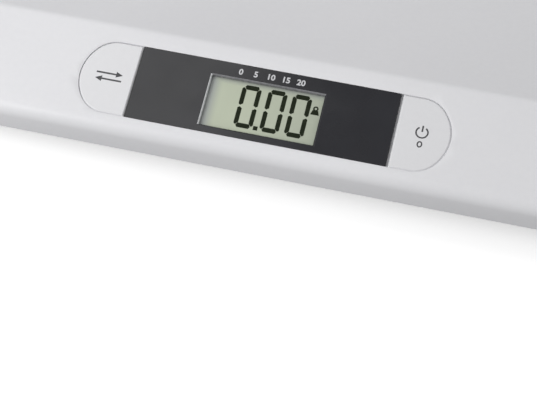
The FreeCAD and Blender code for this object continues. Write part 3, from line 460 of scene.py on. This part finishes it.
def displayFinish(look):
    finish, tree, shader, coordinates = newFinish("display_glass")
    place = addSplit(tree, coordinates)
    tone = addMix(tree, addPatches(tree, coordinates, look["clouds"]), look["cloud"], look["ground"])
    # painted shade: the film darkens towards the right
    tone = addMix(tree, addRange(tree, place["X"], look["fall"]), tone, look["far"])
    # painted shadow of the opening's walls along the left and upper edge
    left = addRange(tree, place["X"], look["leftShadowSpan"], look["leftShadowStrength"], 0, "SMOOTHSTEP")
    topShadowReach = [(fromPanel @ Vector((0, y, look["level"]))).y for y in look["topShadowSpan"]]
    upper = addRange(tree, place["Y"], topShadowReach, look["topShadowStrength"], 0)
    tone = addMix(tree, addMath(tree, "MAXIMUM", left, upper), tone, look["wallShadowTone"])
    feed(tree, shader.inputs["Base Color"], tone)
    film = addNoise(tree, coordinates, *look["film"])
    feed(tree, shader.inputs["Roughness"], addRange(tree, film, look["filmSpan"], *look["gloss"]))
    addBump(tree, shader, film, look["filmDepth"], bumpReach / 2)
    return finish


# layered contact rubber: thin bands of carbon in pink silicone
stripLook = {
    "silicone": (0.52, 0.21, 0.27, 1), "carbon": (0.05, 0.03, 0.035, 1), "bands": 900, "waver": 0.3,
    "bandDepth": 0.15, "patches": (300, 3, (0.3, 0.7)), "gloss": (0.55, 0.75),
}


def stripFinish(look):
    finish, tree, shader, coordinates = newFinish("strip_rubber")
    bands = tree.nodes.new("ShaderNodeTexWave")
    bands.bands_direction = "X"
    feed(tree, bands.inputs["Scale"], look["bands"])
    feed(tree, bands.inputs["Distortion"], look["waver"])
    feed(tree, bands.inputs["Vector"], coordinates)
    tone = addMix(tree, bands.outputs["Fac"], look["silicone"], look["carbon"])
    feed(tree, shader.inputs["Base Color"], tone)
    feed(tree, shader.inputs["Roughness"], addPatches(tree, coordinates, look["patches"], *look["gloss"]))
    addBump(tree, shader, bands.outputs["Fac"], look["bandDepth"])
    return finish


# circuit board: solder mask over tracks that run as narrow raised lines
boardLook = {
    "mask": (0.012, 0.085, 0.035, 1), "track": (0.03, 0.16, 0.07, 1), "trackScale": 240,
    "trackSpan": (0.62, 0.66), "trackDepth": 0.3, "patches": (500, 2, (0.3, 0.7)), "gloss": (0.28, 0.42),
}


def boardFinish(look):
    finish, tree, shader, coordinates = newFinish("circuit_board")
    cells = tree.nodes.new("ShaderNodeTexVoronoi")
    cells.distance = "MANHATTAN"
    cells.feature = "F2"
    feed(tree, cells.inputs["Scale"], look["trackScale"])
    feed(tree, cells.inputs["Vector"], coordinates)
    tracks = addRange(tree, cells.outputs["Distance"], look["trackSpan"])
    feed(tree, shader.inputs["Base Color"], addMix(tree, tracks, look["mask"], look["track"]))
    feed(tree, shader.inputs["Roughness"], addPatches(tree, coordinates, look["patches"], *look["gloss"]))
    addBump(tree, shader, tracks, look["trackDepth"], bumpReach / 2)
    return finish


# wrapped cell: a shrink sleeve in two tones, and between them a pale ring, with its ends as y
cellLook = {
    "sleeve": (0.022, 0.045, 0.085, 1), "ring": (0.62, 0.62, 0.62, 1), "top": (0.42, 0.30, 0.14, 1),
    "ringStart": (0.0205, 0.0207), "ringEnd": (0.0220, 0.0222), "patches": (200, 3, (0.3, 0.7)),
    "gloss": (0.22, 0.36), "wrinkles": (700, 2), "wrinkleDepth": 0.05,
}


def cellFinish(look):
    finish, tree, shader, coordinates = newFinish("battery")
    along = addSplit(tree, coordinates)["Y"]
    tone = addMix(tree, addRange(tree, along, look["ringStart"]), look["sleeve"], look["ring"])
    tone = addMix(tree, addRange(tree, along, look["ringEnd"]), tone, look["top"])
    feed(tree, shader.inputs["Base Color"], tone)
    feed(tree, shader.inputs["Roughness"], addPatches(tree, coordinates, look["patches"], *look["gloss"]))
    addBump(tree, shader, addNoise(tree, coordinates, *look["wrinkles"]), look["wrinkleDepth"])
    return finish


# inks: display crystals, printed numbers and the buttons' marks
inkLooks = {
    "crystalInk": {
        "tone": (0.016, 0.021, 0.012, 1), "worn": (0.026, 0.031, 0.019, 1), "gloss": (0.5, 0.6), "ior": 1.12,
    },
    "paleInk": {
        "tone": (0.62, 0.625, 0.645, 1), "worn": (0.50, 0.505, 0.52, 1), "gloss": (0.45, 0.6), "ior": 1.45,
    },
    "greyInk": {
        "tone": (0.075, 0.075, 0.080, 1), "worn": (0.12, 0.12, 0.125, 1), "gloss": (0.5, 0.65), "ior": 1.3,
    },
}
inkDetail = {"wear": (700, 4), "toneSpan": (0.45, 0.75), "glossSpan": (0.3, 0.7), "depth": 0.05}


def inkFinish(name, look, detail):
    finish, tree, shader, coordinates = newFinish(name)
    wear = addNoise(tree, coordinates, *detail["wear"])
    tone = addMix(tree, addRange(tree, wear, detail["toneSpan"]), look["tone"], look["worn"])
    feed(tree, shader.inputs["Base Color"], tone)
    feed(tree, shader.inputs["Roughness"], addRange(tree, wear, detail["glossSpan"], *look["gloss"]))
    shader.inputs["IOR"].default_value = look["ior"]
    addBump(tree, shader, wear, detail["depth"], bumpReach / 2)
    return finish


finishes = {name: mouldedFinish(name, look) for name, look in mouldedLooks.items()}
finishes.update({name: metalFinish(name, look) for name, look in metalLooks.items()})
finishes["window"] = windowFinish(windowLook)
finishes["display_glass"] = displayFinish(displayLook)
finishes["strip_rubber"] = stripFinish(stripLook)
finishes["circuit_board"] = boardFinish(boardLook)
finishes["battery"] = cellFinish(cellLook)
inks = {name: inkFinish(name, look, inkDetail) for name, look in inkLooks.items()}


def dress(piece, finish):
    piece.data.materials.clear()
    piece.data.materials.append(finish)


for node, piece in nodes.items():
    piece.material_slots[0].material = finishes[slotOf[node]]
print("finishes made:", len(finishes) + len(inks))


# the cradle tray: a level middle that turns up at both ends, all sizes in metres
trayShape = {
    "halfLength": 0.275,
    "halfDepth": 0.165,
    "corner": 0.075,
    "straightHalf": 0.125,
    "turnAxisHeight": 0.385,
    "partingRadius": 0.360,
    "rimHeight": 0.038,
    "rimSlope": math.radians(15),
    "crestFront": -0.11554,
    "crestBack": 0.140,
    "crestRound": 0.006,
    "dishFall": 0.0157,
    "edgeRound": 0.005,
    "edgeTurn": 15,  # degrees from one row of the rounded edge to the next
    "skirtLifts": (0.0022, 0.0008, 0.0002, 0),  # rows of the skirt, above the parting line
    "wall": 0.0026,
    "inset": 0.008,
    "columns": 96,
    "cornerRows": 14,
    "dishRows": 20,
    "crestRows": 5,  # close rows on each side of a crest
    "crestPitch": 0.0004,
    "crestClear": 0.0030,
}


def profileHeight(shape, y):  # height of the middle section above the floor
    slope, radius = shape["rimSlope"], shape["crestRound"]
    crestHeight = shape["rimHeight"] + (shape["crestFront"] + shape["halfDepth"]) * math.tan(slope)
    middle = (shape["crestFront"] + shape["crestBack"]) / 2
    half = shape["crestBack"] - middle
    dishRadius = (half ** 2 + shape["dishFall"] ** 2) / (2 * shape["dishFall"])
    dishAxis = crestHeight - shape["dishFall"] + dishRadius
    lean = math.asin(half / dishRadius)
    reach = radius * math.tan((slope + lean) / 2)
    side = abs(y - middle) - half  # distance outside the crest
    if side >= reach * math.cos(slope):
        return crestHeight - side * math.tan(slope)
    if side <= -reach * math.cos(lean):
        return dishAxis - math.sqrt(dishRadius ** 2 - (y - middle) ** 2)
    across = reach * math.cos(slope) - radius * math.sin(slope)
    rise = crestHeight - reach * math.sin(slope) - radius * math.cos(slope)
    return rise + math.sqrt(radius ** 2 - (side - across) ** 2)


def turnUp(shape, x, radius):  # height on a round about the axis above the level middle
    out = max(abs(x) - shape["straightHalf"], 0)
    return shape["turnAxisHeight"] - math.sqrt(radius ** 2 - out ** 2)


def trayHeight(shape, x, y):
    return turnUp(shape, x, shape["turnAxisHeight"] - profileHeight(shape, y))


def trayReach(shape, y):  # half length of the inset outline at a row
    centre = shape["halfDepth"] - shape["corner"]
    radius = shape["corner"] - shape["inset"]
    beyond = min(max(abs(y) - centre, 0), radius)
    return shape["halfLength"] - shape["corner"] + math.sqrt(max(radius ** 2 - beyond ** 2, 0))


def outward(shape, x, y):  # direction from the outline's middle lines to a point on its edge
    beyondX = abs(x) - (shape["halfLength"] - shape["corner"])
    beyondY = abs(y) - (shape["halfDepth"] - shape["corner"])
    way = Vector((max(beyondX, 0), max(beyondY, 0), 0))
    way.normalize()
    return Vector((math.copysign(way.x, x), math.copysign(way.y, y), 0))


def trayRows(shape):  # places of the rows along the depth, close together at the crests
    centre = shape["halfDepth"] - shape["corner"]
    radius = shape["corner"] - shape["inset"]
    rows = set()
    for step in range(shape["cornerRows"] + 1):
        y = centre + radius * math.sin(math.pi / 2 * step / shape["cornerRows"])
        rows.update((y, -y))
    for step in range(1, shape["dishRows"]):
        rows.add(centre * (2 * step / shape["dishRows"] - 1))
    near = range(-shape["crestRows"], shape["crestRows"] + 1)
    for crest in (shape["crestFront"], shape["crestBack"]):
        rows = {y for y in rows if abs(y - crest) > shape["crestClear"]}
        rows.update(crest + step * shape["crestPitch"] for step in near)
    return sorted(rows)


def addRing(piece, shape, before, distance, heightAt):  # one more loop round the open edge
    pick(piece)
    bpy.ops.object.mode_set(mode="EDIT")
    bpy.ops.mesh.select_mode(type="EDGE")
    bpy.ops.mesh.select_all(action="DESELECT")
    bpy.ops.mesh.select_non_manifold()
    bpy.ops.mesh.extrude_edges_move(TRANSFORM_OT_translate={"value": (0, 0, 0)})
    bpy.ops.object.mode_set(mode="OBJECT")
    for corner in piece.data.vertices:
        if corner.select:
            corner.co += outward(shape, corner.co.x, corner.co.y) * (before - distance)
            corner.co.z = heightAt(corner.co.x, corner.co.y)


def makeTray(shape):
    rows = trayRows(shape)
    clearSelection()
    bpy.ops.mesh.primitive_grid_add(x_subdivisions=shape["columns"], y_subdivisions=len(rows) - 1, size=2)
    tray = nameLast("cradleTray")
    for corner in tray.data.vertices:
        y = rows[round((corner.co.y + 1) / 2 * (len(rows) - 1))]
        x = corner.co.x * trayReach(shape, y)
        corner.co = (x, y, trayHeight(shape, x, y))
    before = shape["inset"]
    for degrees in range(0, 91, shape["edgeTurn"]):  # the rounded edge from the rim over to the skirt
        angle = math.radians(degrees)
        distance = shape["edgeRound"] * (1 - math.sin(angle))
        drop = shape["edgeRound"] * (1 - math.cos(angle))
        addRing(tray, shape, before, distance, lambda x, y: trayHeight(shape, x, y) - drop)
        before = distance
    for lift in shape["skirtLifts"]:
        addRing(tray, shape, before, 0, lambda x, y: turnUp(shape, x, shape["partingRadius"]) + lift)
        before = 0
    pick(tray)
    bpy.ops.object.mode_set(mode="EDIT")
    bpy.ops.mesh.select_all(action="SELECT")
    bpy.ops.mesh.normals_make_consistent(inside=False)
    bpy.ops.object.mode_set(mode="OBJECT")
    if tray.data.polygons[0].normal.z < 0:  # the grid's own faces come first and have to look up
        tray.data.flip_normals()
    wall = tray.modifiers.new("wall", "SOLIDIFY")
    wall.thickness = shape["wall"]
    wall.offset = -1
    wall.use_even_offset = True
    applyModifier(tray, wall)
    return tray


tray = makeTray(trayShape)
print("tray shaped:", len(tray.data.polygons), "faces")


# the panel's opening: the window in the middle and a D-shaped button at each end
panelCuts = {
    "windowHalf": 0.0592,
    "gap": 0.00008,
    "buttonStart": 0.0602,
    "buttonReach": 0.0846,
    "buttonHalf": 0.018,
    "endRound": 0.0205,
    "cornerRound": 0.0134,
    "roundSteps": 24,
    "depth": 0.012,
    "edge": 0.00007,
    "edgeSteps": 2,
    "sharpAngle": 50,
    "smoothAngle": 40,
    "barTop": -0.0017,
    "barBottom": -0.0026,
    "barOverlap": 0.0004,  # how far a bar runs into the tray at each end
}


def panelOutline(cuts):
    steps = cuts["roundSteps"]
    half = cuts["buttonHalf"] + cuts["gap"]
    corner = cuts["cornerRound"] + cuts["gap"]
    bulge = cuts["endRound"] + cuts["gap"]
    middle = cuts["buttonReach"] + cuts["gap"] - bulge
    turn = middle + math.sqrt((bulge - corner) ** 2 - (half - corner) ** 2)
    lean = math.asin((half - corner) / (bulge - corner))
    lower = []
    for step in range(steps + 1):
        angle = -math.pi / 2 + (math.pi / 2 - lean) * step / steps
        lower.append((turn + corner * math.cos(angle), -(half - corner) + corner * math.sin(angle)))
    right = list(lower)
    for step in range(1, steps):
        angle = -lean + 2 * lean * step / steps
        right.append((middle + bulge * math.cos(angle), bulge * math.sin(angle)))
    right += [(x, -y) for x, y in reversed(lower)]
    return right + [(-x, y) for x, y in reversed(right)]


def prismFrom(points, bottom, top, name):  # a flat outline stood up into a block
    clearSelection()
    bpy.ops.mesh.primitive_circle_add(vertices=len(points), radius=1, fill_type="NGON")
    block = nameLast(name)
    for corner, (x, y) in zip(block.data.vertices, points):
        corner.co = (x, y, bottom)
    bpy.ops.object.mode_set(mode="EDIT")
    bpy.ops.mesh.select_all(action="SELECT")
    bpy.ops.mesh.extrude_region_move(TRANSFORM_OT_translate={"value": (0, 0, top - bottom)})
    bpy.ops.mesh.select_all(action="SELECT")
    bpy.ops.mesh.normals_make_consistent(inside=False)
    bpy.ops.object.mode_set(mode="OBJECT")
    return block


def rectangle(width, height, x=0, y=0):
    return [
        (x - width / 2, y - height / 2), (x + width / 2, y - height / 2),
        (x + width / 2, y + height / 2), (x - width / 2, y + height / 2),
    ]


def cutPanel(piece, cuts):
    block = prismFrom(panelOutline(cuts), -cuts["depth"], cuts["depth"], "panelCut")
    ontoPanel(block)
    cut = piece.modifiers.new("cut", "BOOLEAN")
    cut.operation = "DIFFERENCE"
    cut.object = block
    cut.solver = "EXACT"
    applyModifier(piece, cut)
    bpy.data.objects.remove(block)
    bevelEdges(piece, cuts["edge"], cuts["edgeSteps"], cuts["sharpAngle"])


def makeBars(cuts):  # the narrow bars between the window and the buttons, below the face
    near, far = cuts["windowHalf"] + cuts["gap"], cuts["buttonStart"] - cuts["gap"]
    length = 2 * (cuts["buttonHalf"] + cuts["barOverlap"])
    bars = []
    for side, name in ((-1, "leftBar"), (1, "rightBar")):
        outline = rectangle(far - near, length, side * (near + far) / 2)
        bars.append(prismFrom(outline, cuts["barBottom"], cuts["barTop"], name))
        ontoPanel(bars[-1])
    return bars


cutPanel(tray, panelCuts)
tray = joinPieces([tray, *makeBars(panelCuts)], "cradleTray")
smoothBelow(tray, panelCuts["smoothAngle"])
dress(tray, finishes["housing"])
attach(tray, "housing")
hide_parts("tray_shell")
print("panel cut")


# copies of solids whose edges are softened: name, edge radius and steps
softened = {
    "base_shell": ("lowerHousing", 0.0006, 2),
    "display_window": ("smokedWindow", 0.00022, 3),
    "unit_button": ("leftKey", 0.00015, 3),
    "tare_button": ("rightKey", 0.00015, 3),
    "battery_door": ("cellDoor", 0.0003, 2),
    "foot_front_left": ("footFrontLeft", 0.0010, 3),
    "foot_front_right": ("footFrontRight", 0.0010, 3),
    "foot_rear_left": ("footRearLeft", 0.0010, 3),
    "foot_rear_right": ("footRearRight", 0.0010, 3),
    "housing_screws": ("shellScrews", 0.00015, 2),
}
softening = {"mergeWithin": 0.000002, "flatAngle": 0.6, "sharpAngle": 30, "smoothAngle": 35}


def softenedCopy(node, name, width, steps, way):
    piece = ownCopy(nodes[node])
    piece.parent = None
    piece.matrix_world = Matrix.Identity(4)
    piece.name = name
    piece.data.name = name
    pick(piece)
    bpy.ops.object.mode_set(mode="EDIT")
    bpy.ops.mesh.select_all(action="SELECT")
    bpy.ops.mesh.remove_doubles(threshold=way["mergeWithin"])
    bpy.ops.mesh.dissolve_limited(angle_limit=math.radians(way["flatAngle"]))
    bpy.ops.object.mode_set(mode="OBJECT")
    bevelEdges(piece, width, steps, way["sharpAngle"])
    smoothBelow(piece, way["smoothAngle"])
    even = piece.modifiers.new("even", "WEIGHTED_NORMAL")
    even.keep_sharp = True
    applyModifier(piece, even)
    dress(piece, finishes[slotOf[node]])
    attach(piece, bodyOf(node))
    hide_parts(node)
    return piece


pieces = {name: softenedCopy(node, name, width, steps, softening)
          for node, (name, width, steps) in softened.items()}
print("edges softened:", len(pieces))


# the door's grip: low ridges across its front end
doorGrip = {
    "count": 6, "pitch": 0.0019, "start": 0.0055, "width": 0.0150, "thick": 0.0009, "proud": 0.0004,
    "rounding": 0.0003, "roundingSteps": 3, "smoothAngle": 35,
}


def addGrip(door, grip):
    low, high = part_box("battery_door")
    clearSelection()
    middle = (low.x + high.x) / 2
    bpy.ops.mesh.primitive_cube_add(size=1, location=(middle, low.y + grip["start"], low.z))
    ridge = nameLast("ridge")
    ridge.scale = (grip["width"], grip["thick"], 2 * grip["proud"])
    settle(ridge)
    rounding = ridge.modifiers.new("rounding", "BEVEL")
    rounding.width = grip["rounding"]
    rounding.segments = grip["roundingSteps"]
    applyModifier(ridge, rounding)
    smoothBelow(ridge, grip["smoothAngle"])
    dress(ridge, finishes[slotOf["battery_door"]])
    ridges = [ridge]
    for place in range(1, grip["count"]):
        ridges.append(ownCopy(ridge))
        ridges[-1].location.y = place * grip["pitch"]
        settle(ridges[-1])
    return joinPieces([door, *ridges], door.name)


addGrip(pieces["cellDoor"], doorGrip)
print("door grip added")


# left key: its straight side reaches over the bar, up to the window
leftKeyLip = {"side": 0.0602, "near": 0.0016, "depth": 0.0012, "reach": 0.0008}


def reachWindow(key, lip):
    for corner in key.data.vertices:
        x, y, depth = toPanel @ corner.co
        if abs(abs(x) - lip["side"]) < lip["near"] and depth > -lip["depth"]:
            corner.co.x -= math.copysign(lip["reach"], corner.co.x)


reachWindow(pieces["leftKey"], leftKeyLip)


# the display opening: its left and upper walls move a little further in and get painted light, a painted
# highlight on the left walls and a painted grey sheen on the upper walls
openingShape = {
    "halfWidth": 0.02715, "low": -0.0154, "high": 0.0118,
    "leftWall": -0.0255, "leftShift": 0.00042, "lipShift": 0.00010, "lipDepth": 0.0005,
    "topWall": 0.0101, "topShift": -0.0003,
    "flatLevel": 0.97, "wallLevel": 0.3,
}


def inOpening(shape, x, y):
    return abs(x) < shape["halfWidth"] and shape["low"] < y < shape["high"]


def trimOpening(window, shape):
    for corner in window.data.vertices:
        x, y, depth = toPanel @ corner.co
        if not inOpening(shape, x, y):
            continue
        if x < shape["leftWall"]:
            lip = min(max(1 + depth / shape["lipDepth"], 0), 1)
            x += shape["leftShift"] + lip * shape["lipShift"]
        if y > shape["topWall"]:
            y += shape["topShift"]
        corner.co = fromPanel @ Vector((x, y, depth))


def paintOpeningLight(window, shape):
    for name, look in cutPaintedLight.items():
        window.data.materials.append(paintedCutFinish(name, look, cutDetail))
    turn = toPanel.to_3x3()
    for face in window.data.polygons:
        place, facing = toPanel @ face.center, turn @ face.normal
        if not inOpening(shape, place.x, place.y) or abs(facing.z) > shape["flatLevel"]:
            continue
        # walls facing right get the painted highlight
        if facing.x > shape["wallLevel"]:
            face.material_index = 1
        # walls facing the front get the painted grey sheen
        elif facing.y < -shape["wallLevel"]:
            face.material_index = 2


trimOpening(pieces["smokedWindow"], openingShape)
paintOpeningLight(pieces["smokedWindow"], openingShape)
print("keys and window fitted")


# the display's digits: bars and uprights with pointed ends, at the depth of the glass
digitShape = {
    "lefts": (-0.01103, 0.00088, 0.01208),
    "width": 0.0088,
    "bottom": -0.01172,
    "top": 0.00938,
    "stroke": 0.00204,
    "bar": 0.00226,
    "barStart": 0.00112,
    "barPoint": 0.42,  # how far down a bar its points lie
    "chamfer": 0.00060,
    "outerDrop": 0.00195,
    "tipDrop": 0.00130,
    "shoulder": (0.30, 0.76),  # parts of barStart and outerDrop
    "tipPlace": 0.84,  # part of barStart
    "innerDrop": 0.20,  # this and the next two are parts of the stroke
    "footRise": 0.42,
    "heelRise": 0.30,
    "middleGap": 0.00034,
    "level": -0.00210,
    "thickness": 0.00003,
    "dot": (-0.00083, -0.01075, 0.00100),
}


def uprightStroke(shape, edge, top, reach, flip):  # from beside the top bar down to the middle
    width, start, drop = shape["stroke"], shape["barStart"], shape["outerDrop"]
    middle = top - reach + shape["middleGap"]
    outline = [
        (0, top - drop),
        (start * shape["shoulder"][0], top - drop * shape["shoulder"][1]),
        (start * shape["tipPlace"], top - shape["tipDrop"]),
        (width, top - shape["bar"] - width * shape["innerDrop"]),
        (width, middle + width * shape["footRise"]),
        (width * shape["footRise"], middle),
        (0, middle + width * shape["heelRise"]),
    ]
    return [(edge - x, y) if flip else (edge + x, y) for x, y in outline]


def barStroke(shape, left, right, outer, inward):  # the top or bottom bar
    start, cut, deep = shape["barStart"], shape["chamfer"], shape["bar"] * inward
    point = outer + deep * shape["barPoint"]
    return [
        (left + start + cut, outer), (right - start - cut, outer), (right - start, point),
        (right - start - cut, outer + deep), (left + start + cut, outer + deep), (left + start, point),
    ]


def makeDigits(shape):
    level, thickness = shape["level"], shape["thickness"]
    low, high = shape["bottom"], shape["top"]
    outlines = []
    for left in shape["lefts"]:
        right = left + shape["width"]
        outlines.append(barStroke(shape, left, right, high, -1))
        outlines.append(barStroke(shape, left, right, low, 1))
        for edge, flip in ((left, False), (right, True)):
            upper = uprightStroke(shape, edge, high, (high - low) / 2, flip)
            outlines.append(upper)
            outlines.append([(x, low + high - y) for x, y in upper])
    x, y, side = shape["dot"]
    outlines.append(rectangle(2 * side, 2 * side, x, y))
    bars = [prismFrom(outline, level, level + thickness, "bar") for outline in outlines]
    digits = joinPieces(bars, "displayDigits")
    ontoPanel(digits)
    return digits


# a small weight, the usual sign for a weighing display, right of the digits
weightSign = {
    "centre": (0.02335, 0.0024), "width": 0.0040, "height": 0.0030, "shoulder": 0.62,
    "ring": 0.0009, "ringLift": 0.00081, "line": 0.00035, "ringSteps": (28, 8),
}


def makeWeight(sign, level, thickness):
    x, y = sign["centre"]
    half, low, high = sign["width"] / 2, y - sign["height"] / 2, y + sign["height"] / 4
    upper = half * sign["shoulder"]
    body = prismFrom(
        [(x - half, low), (x + half, low), (x + upper, high), (x - upper, high)],
        level, level + thickness, "weightBody",
    )
    clearSelection()
    bpy.ops.mesh.primitive_torus_add(
        major_radius=sign["ring"], minor_radius=sign["line"],
        major_segments=sign["ringSteps"][0], minor_segments=sign["ringSteps"][1],
        location=(x, high + sign["ringLift"], level + thickness / 2),
    )
    ring = nameLast("weightRing")
    ring.scale.z = thickness / 2 / sign["line"]
    settle(ring)
    weight = joinPieces([body, ring], "weightMark")
    ontoPanel(weight)
    return weight


def finishMark(piece, ink, body):
    dress(piece, inks[ink])
    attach(piece, body)


digits = makeDigits(digitShape)
finishMark(digits, "crystalInk", "housing")
weight = makeWeight(weightSign, digitShape["level"], digitShape["thickness"])
finishMark(weight, "crystalInk", "housing")
print("digits placed")


# plain numbers in a row above the display
numberRow = {
    "numbers": ("0", "5", "10", "15", "20"),
    "start": -0.0132,
    "pitch": 0.0069,
    "height": 0.0141,
    "size": 0.0039,
    "heavier": 0.00012,
    "curveSteps": 4,
    "thickness": 0.00002,
}


def makeNumbers(row):
    words = []
    for place, number in enumerate(row["numbers"]):
        clearSelection()
        bpy.ops.object.text_add(location=(row["start"] + place * row["pitch"], row["height"], 0))
        word = nameLast("number" + number)
        word.data.body = number
        word.data.size = row["size"]
        word.data.align_x = "CENTER"
        word.data.align_y = "CENTER"
        word.data.extrude = row["thickness"]
        word.data.offset = row["heavier"]
        word.data.resolution_u = row["curveSteps"]
        pick(word)
        bpy.ops.object.convert(target="MESH")
        words.append(bpy.context.object)
    numbers = joinPieces(words, "printedNumbers")
    ontoPanel(numbers)
    return numbers


finishMark(makeNumbers(numberRow), "paleInk", "housing")
print("numbers printed")


# the buttons' signs: two opposed arrows on the left, power and zero on the right
arrowSign = {
    "centre": (-0.0711, 0), "length": 0.0122, "line": 0.00080, "headLength": 0.00306, "headHalf": 0.00144,
    "spread": 0.00150,
}
powerSign = {
    "centre": (0.0716, 0.0012), "radius": 0.0026, "line": 0.00070, "open": 34, "steps": 40,
    "stem": 0.0030, "stemLift": 0.0003,
}
zeroSign = {"centre": (0.0716, -0.0046), "width": 0.0019, "height": 0.0025, "line": 0.00062, "steps": 32}
signThickness = 0.00003
fullTurn = 359.9  # degrees, just open, so that a ring is still one outline


def arrow(start, end, sign, name):
    start, end = Vector(start), Vector(end)
    way = (end - start).normalized()
    side = Vector((-way.y, way.x))
    neck = end - way * sign["headLength"]
    half, wing = side * sign["line"] / 2, side * sign["headHalf"]
    outline = [start - half, neck - half, neck - wing, end, neck + wing, neck + half, start + half]
    return prismFrom([tuple(point) for point in outline], 0, signThickness, name)


def band(centre, radii, line, start, end, steps, name):  # an open or closed ring of even width
    outline = []
    for way, grow in ((1, line / 2), (-1, -line / 2)):
        for step in range(steps + 1):
            part = step / steps if way > 0 else 1 - step / steps
            angle = math.radians(start + (end - start) * part)
            x = centre[0] + (radii[0] + grow) * math.cos(angle)
            y = centre[1] + (radii[1] + grow) * math.sin(angle)
            outline.append((x, y))
    return prismFrom(outline, 0, signThickness, name)


def makeArrows(sign):
    x, y = sign["centre"]
    left, right = x - sign["length"] / 2, x + sign["length"] / 2
    upper, lower = y + sign["spread"], y - sign["spread"]
    pair = [
        arrow((left, upper), (right, upper), sign, "upperArrow"),
        arrow((right, lower), (left, lower), sign, "lowerArrow"),
    ]
    return joinPieces(pair, "leftKeyMark")


def makePower(power, zero):
    x, y = power["centre"]
    radii = (power["radius"], power["radius"])
    start, end = 90 + power["open"], 450 - power["open"]
    stem = rectangle(power["line"], power["stem"], x, y + power["stem"] / 2 + power["stemLift"])
    zeroRadii = (zero["width"] / 2, zero["height"] / 2)
    parts = [
        band((x, y), radii, power["line"], start, end, power["steps"], "powerRing"),
        prismFrom(stem, 0, signThickness, "stem"),
        band(zero["centre"], zeroRadii, zero["line"], 0, fullTurn, zero["steps"], "zero"),
    ]
    return joinPieces(parts, "rightKeyMark")


for mark, body in ((makeArrows(arrowSign), "unit_key"), (makePower(powerSign, zeroSign), "tare_key")):
    ontoPanel(mark)
    finishMark(mark, "greyInk", body)
print("key signs printed")


# floor, lamps and world
studio = {
    "floor": (0.95, 0.95, 0.95, 1),
    "floorBounce": (0.34, 0.34, 0.34, 1),
    "floorGlow": 0.42,
    "floorGlowTone": (1, 1, 1, 1),
    "floorRoughness": 0.8,
    "floorSize": 30,
    "floorParts": 8,
    "lamps": {
        "keyLight": {"place": (-0.75, -0.75, 0.75), "aim": (0, -0.12, 0.05), "size": 0.6, "power": 8.2},
        "topLight": {"place": (-0.76, 0.05, 1.60), "aim": (-0.76, 0.05, 0), "size": 1.0, "power": 3.9},
    },
    "sky": (1, 1, 1, 1),
    "fill": 0.48,
}


def makeFloor(look):
    clearSelection()
    parts = look["floorParts"]
    bpy.ops.mesh.primitive_grid_add(x_subdivisions=parts, y_subdivisions=parts, size=look["floorSize"])
    floor = nameLast("studioFloor")
    finish, tree, shader = newFinish("floorPaint")[:3]
    seen = tree.nodes.new("ShaderNodeLightPath").outputs["Is Camera Ray"]
    feed(tree, shader.inputs["Base Color"], addMix(tree, seen, look["floorBounce"], look["floor"]))
    feed(tree, shader.inputs["Emission Strength"], addMath(tree, "MULTIPLY", seen, look["floorGlow"]))
    shader.inputs["Emission Color"].default_value = look["floorGlowTone"]
    shader.inputs["Roughness"].default_value = look["floorRoughness"]
    dress(floor, finish)


def makeLamp(name, look):
    clearSelection()
    bpy.ops.object.light_add(type="AREA", location=look["place"])
    lamp = nameLast(name)
    lamp.data.shape = "SQUARE"
    lamp.data.size = look["size"]
    lamp.data.energy = look["power"]
    aim = Vector(look["aim"]) - Vector(look["place"])
    lamp.rotation_euler = aim.to_track_quat("-Z", "Y").to_euler()


def makeWorld(look):
    world = bpy.data.worlds.new("studioWorld")
    bpy.context.scene.world = world
    world.use_nodes = True
    tree = world.node_tree
    background = tree.nodes["Background"]
    feed(tree, background.inputs["Color"], look["sky"])
    seen = tree.nodes.new("ShaderNodeLightPath").outputs["Is Camera Ray"]
    feed(tree, background.inputs["Strength"], addRange(tree, seen, (0, 1), look["fill"], 1))


makeFloor(studio)
for name, look in studio["lamps"].items():
    makeLamp(name, look)
makeWorld(studio)
bpy.context.scene.view_settings.view_transform = "Standard"
print("studio lit")
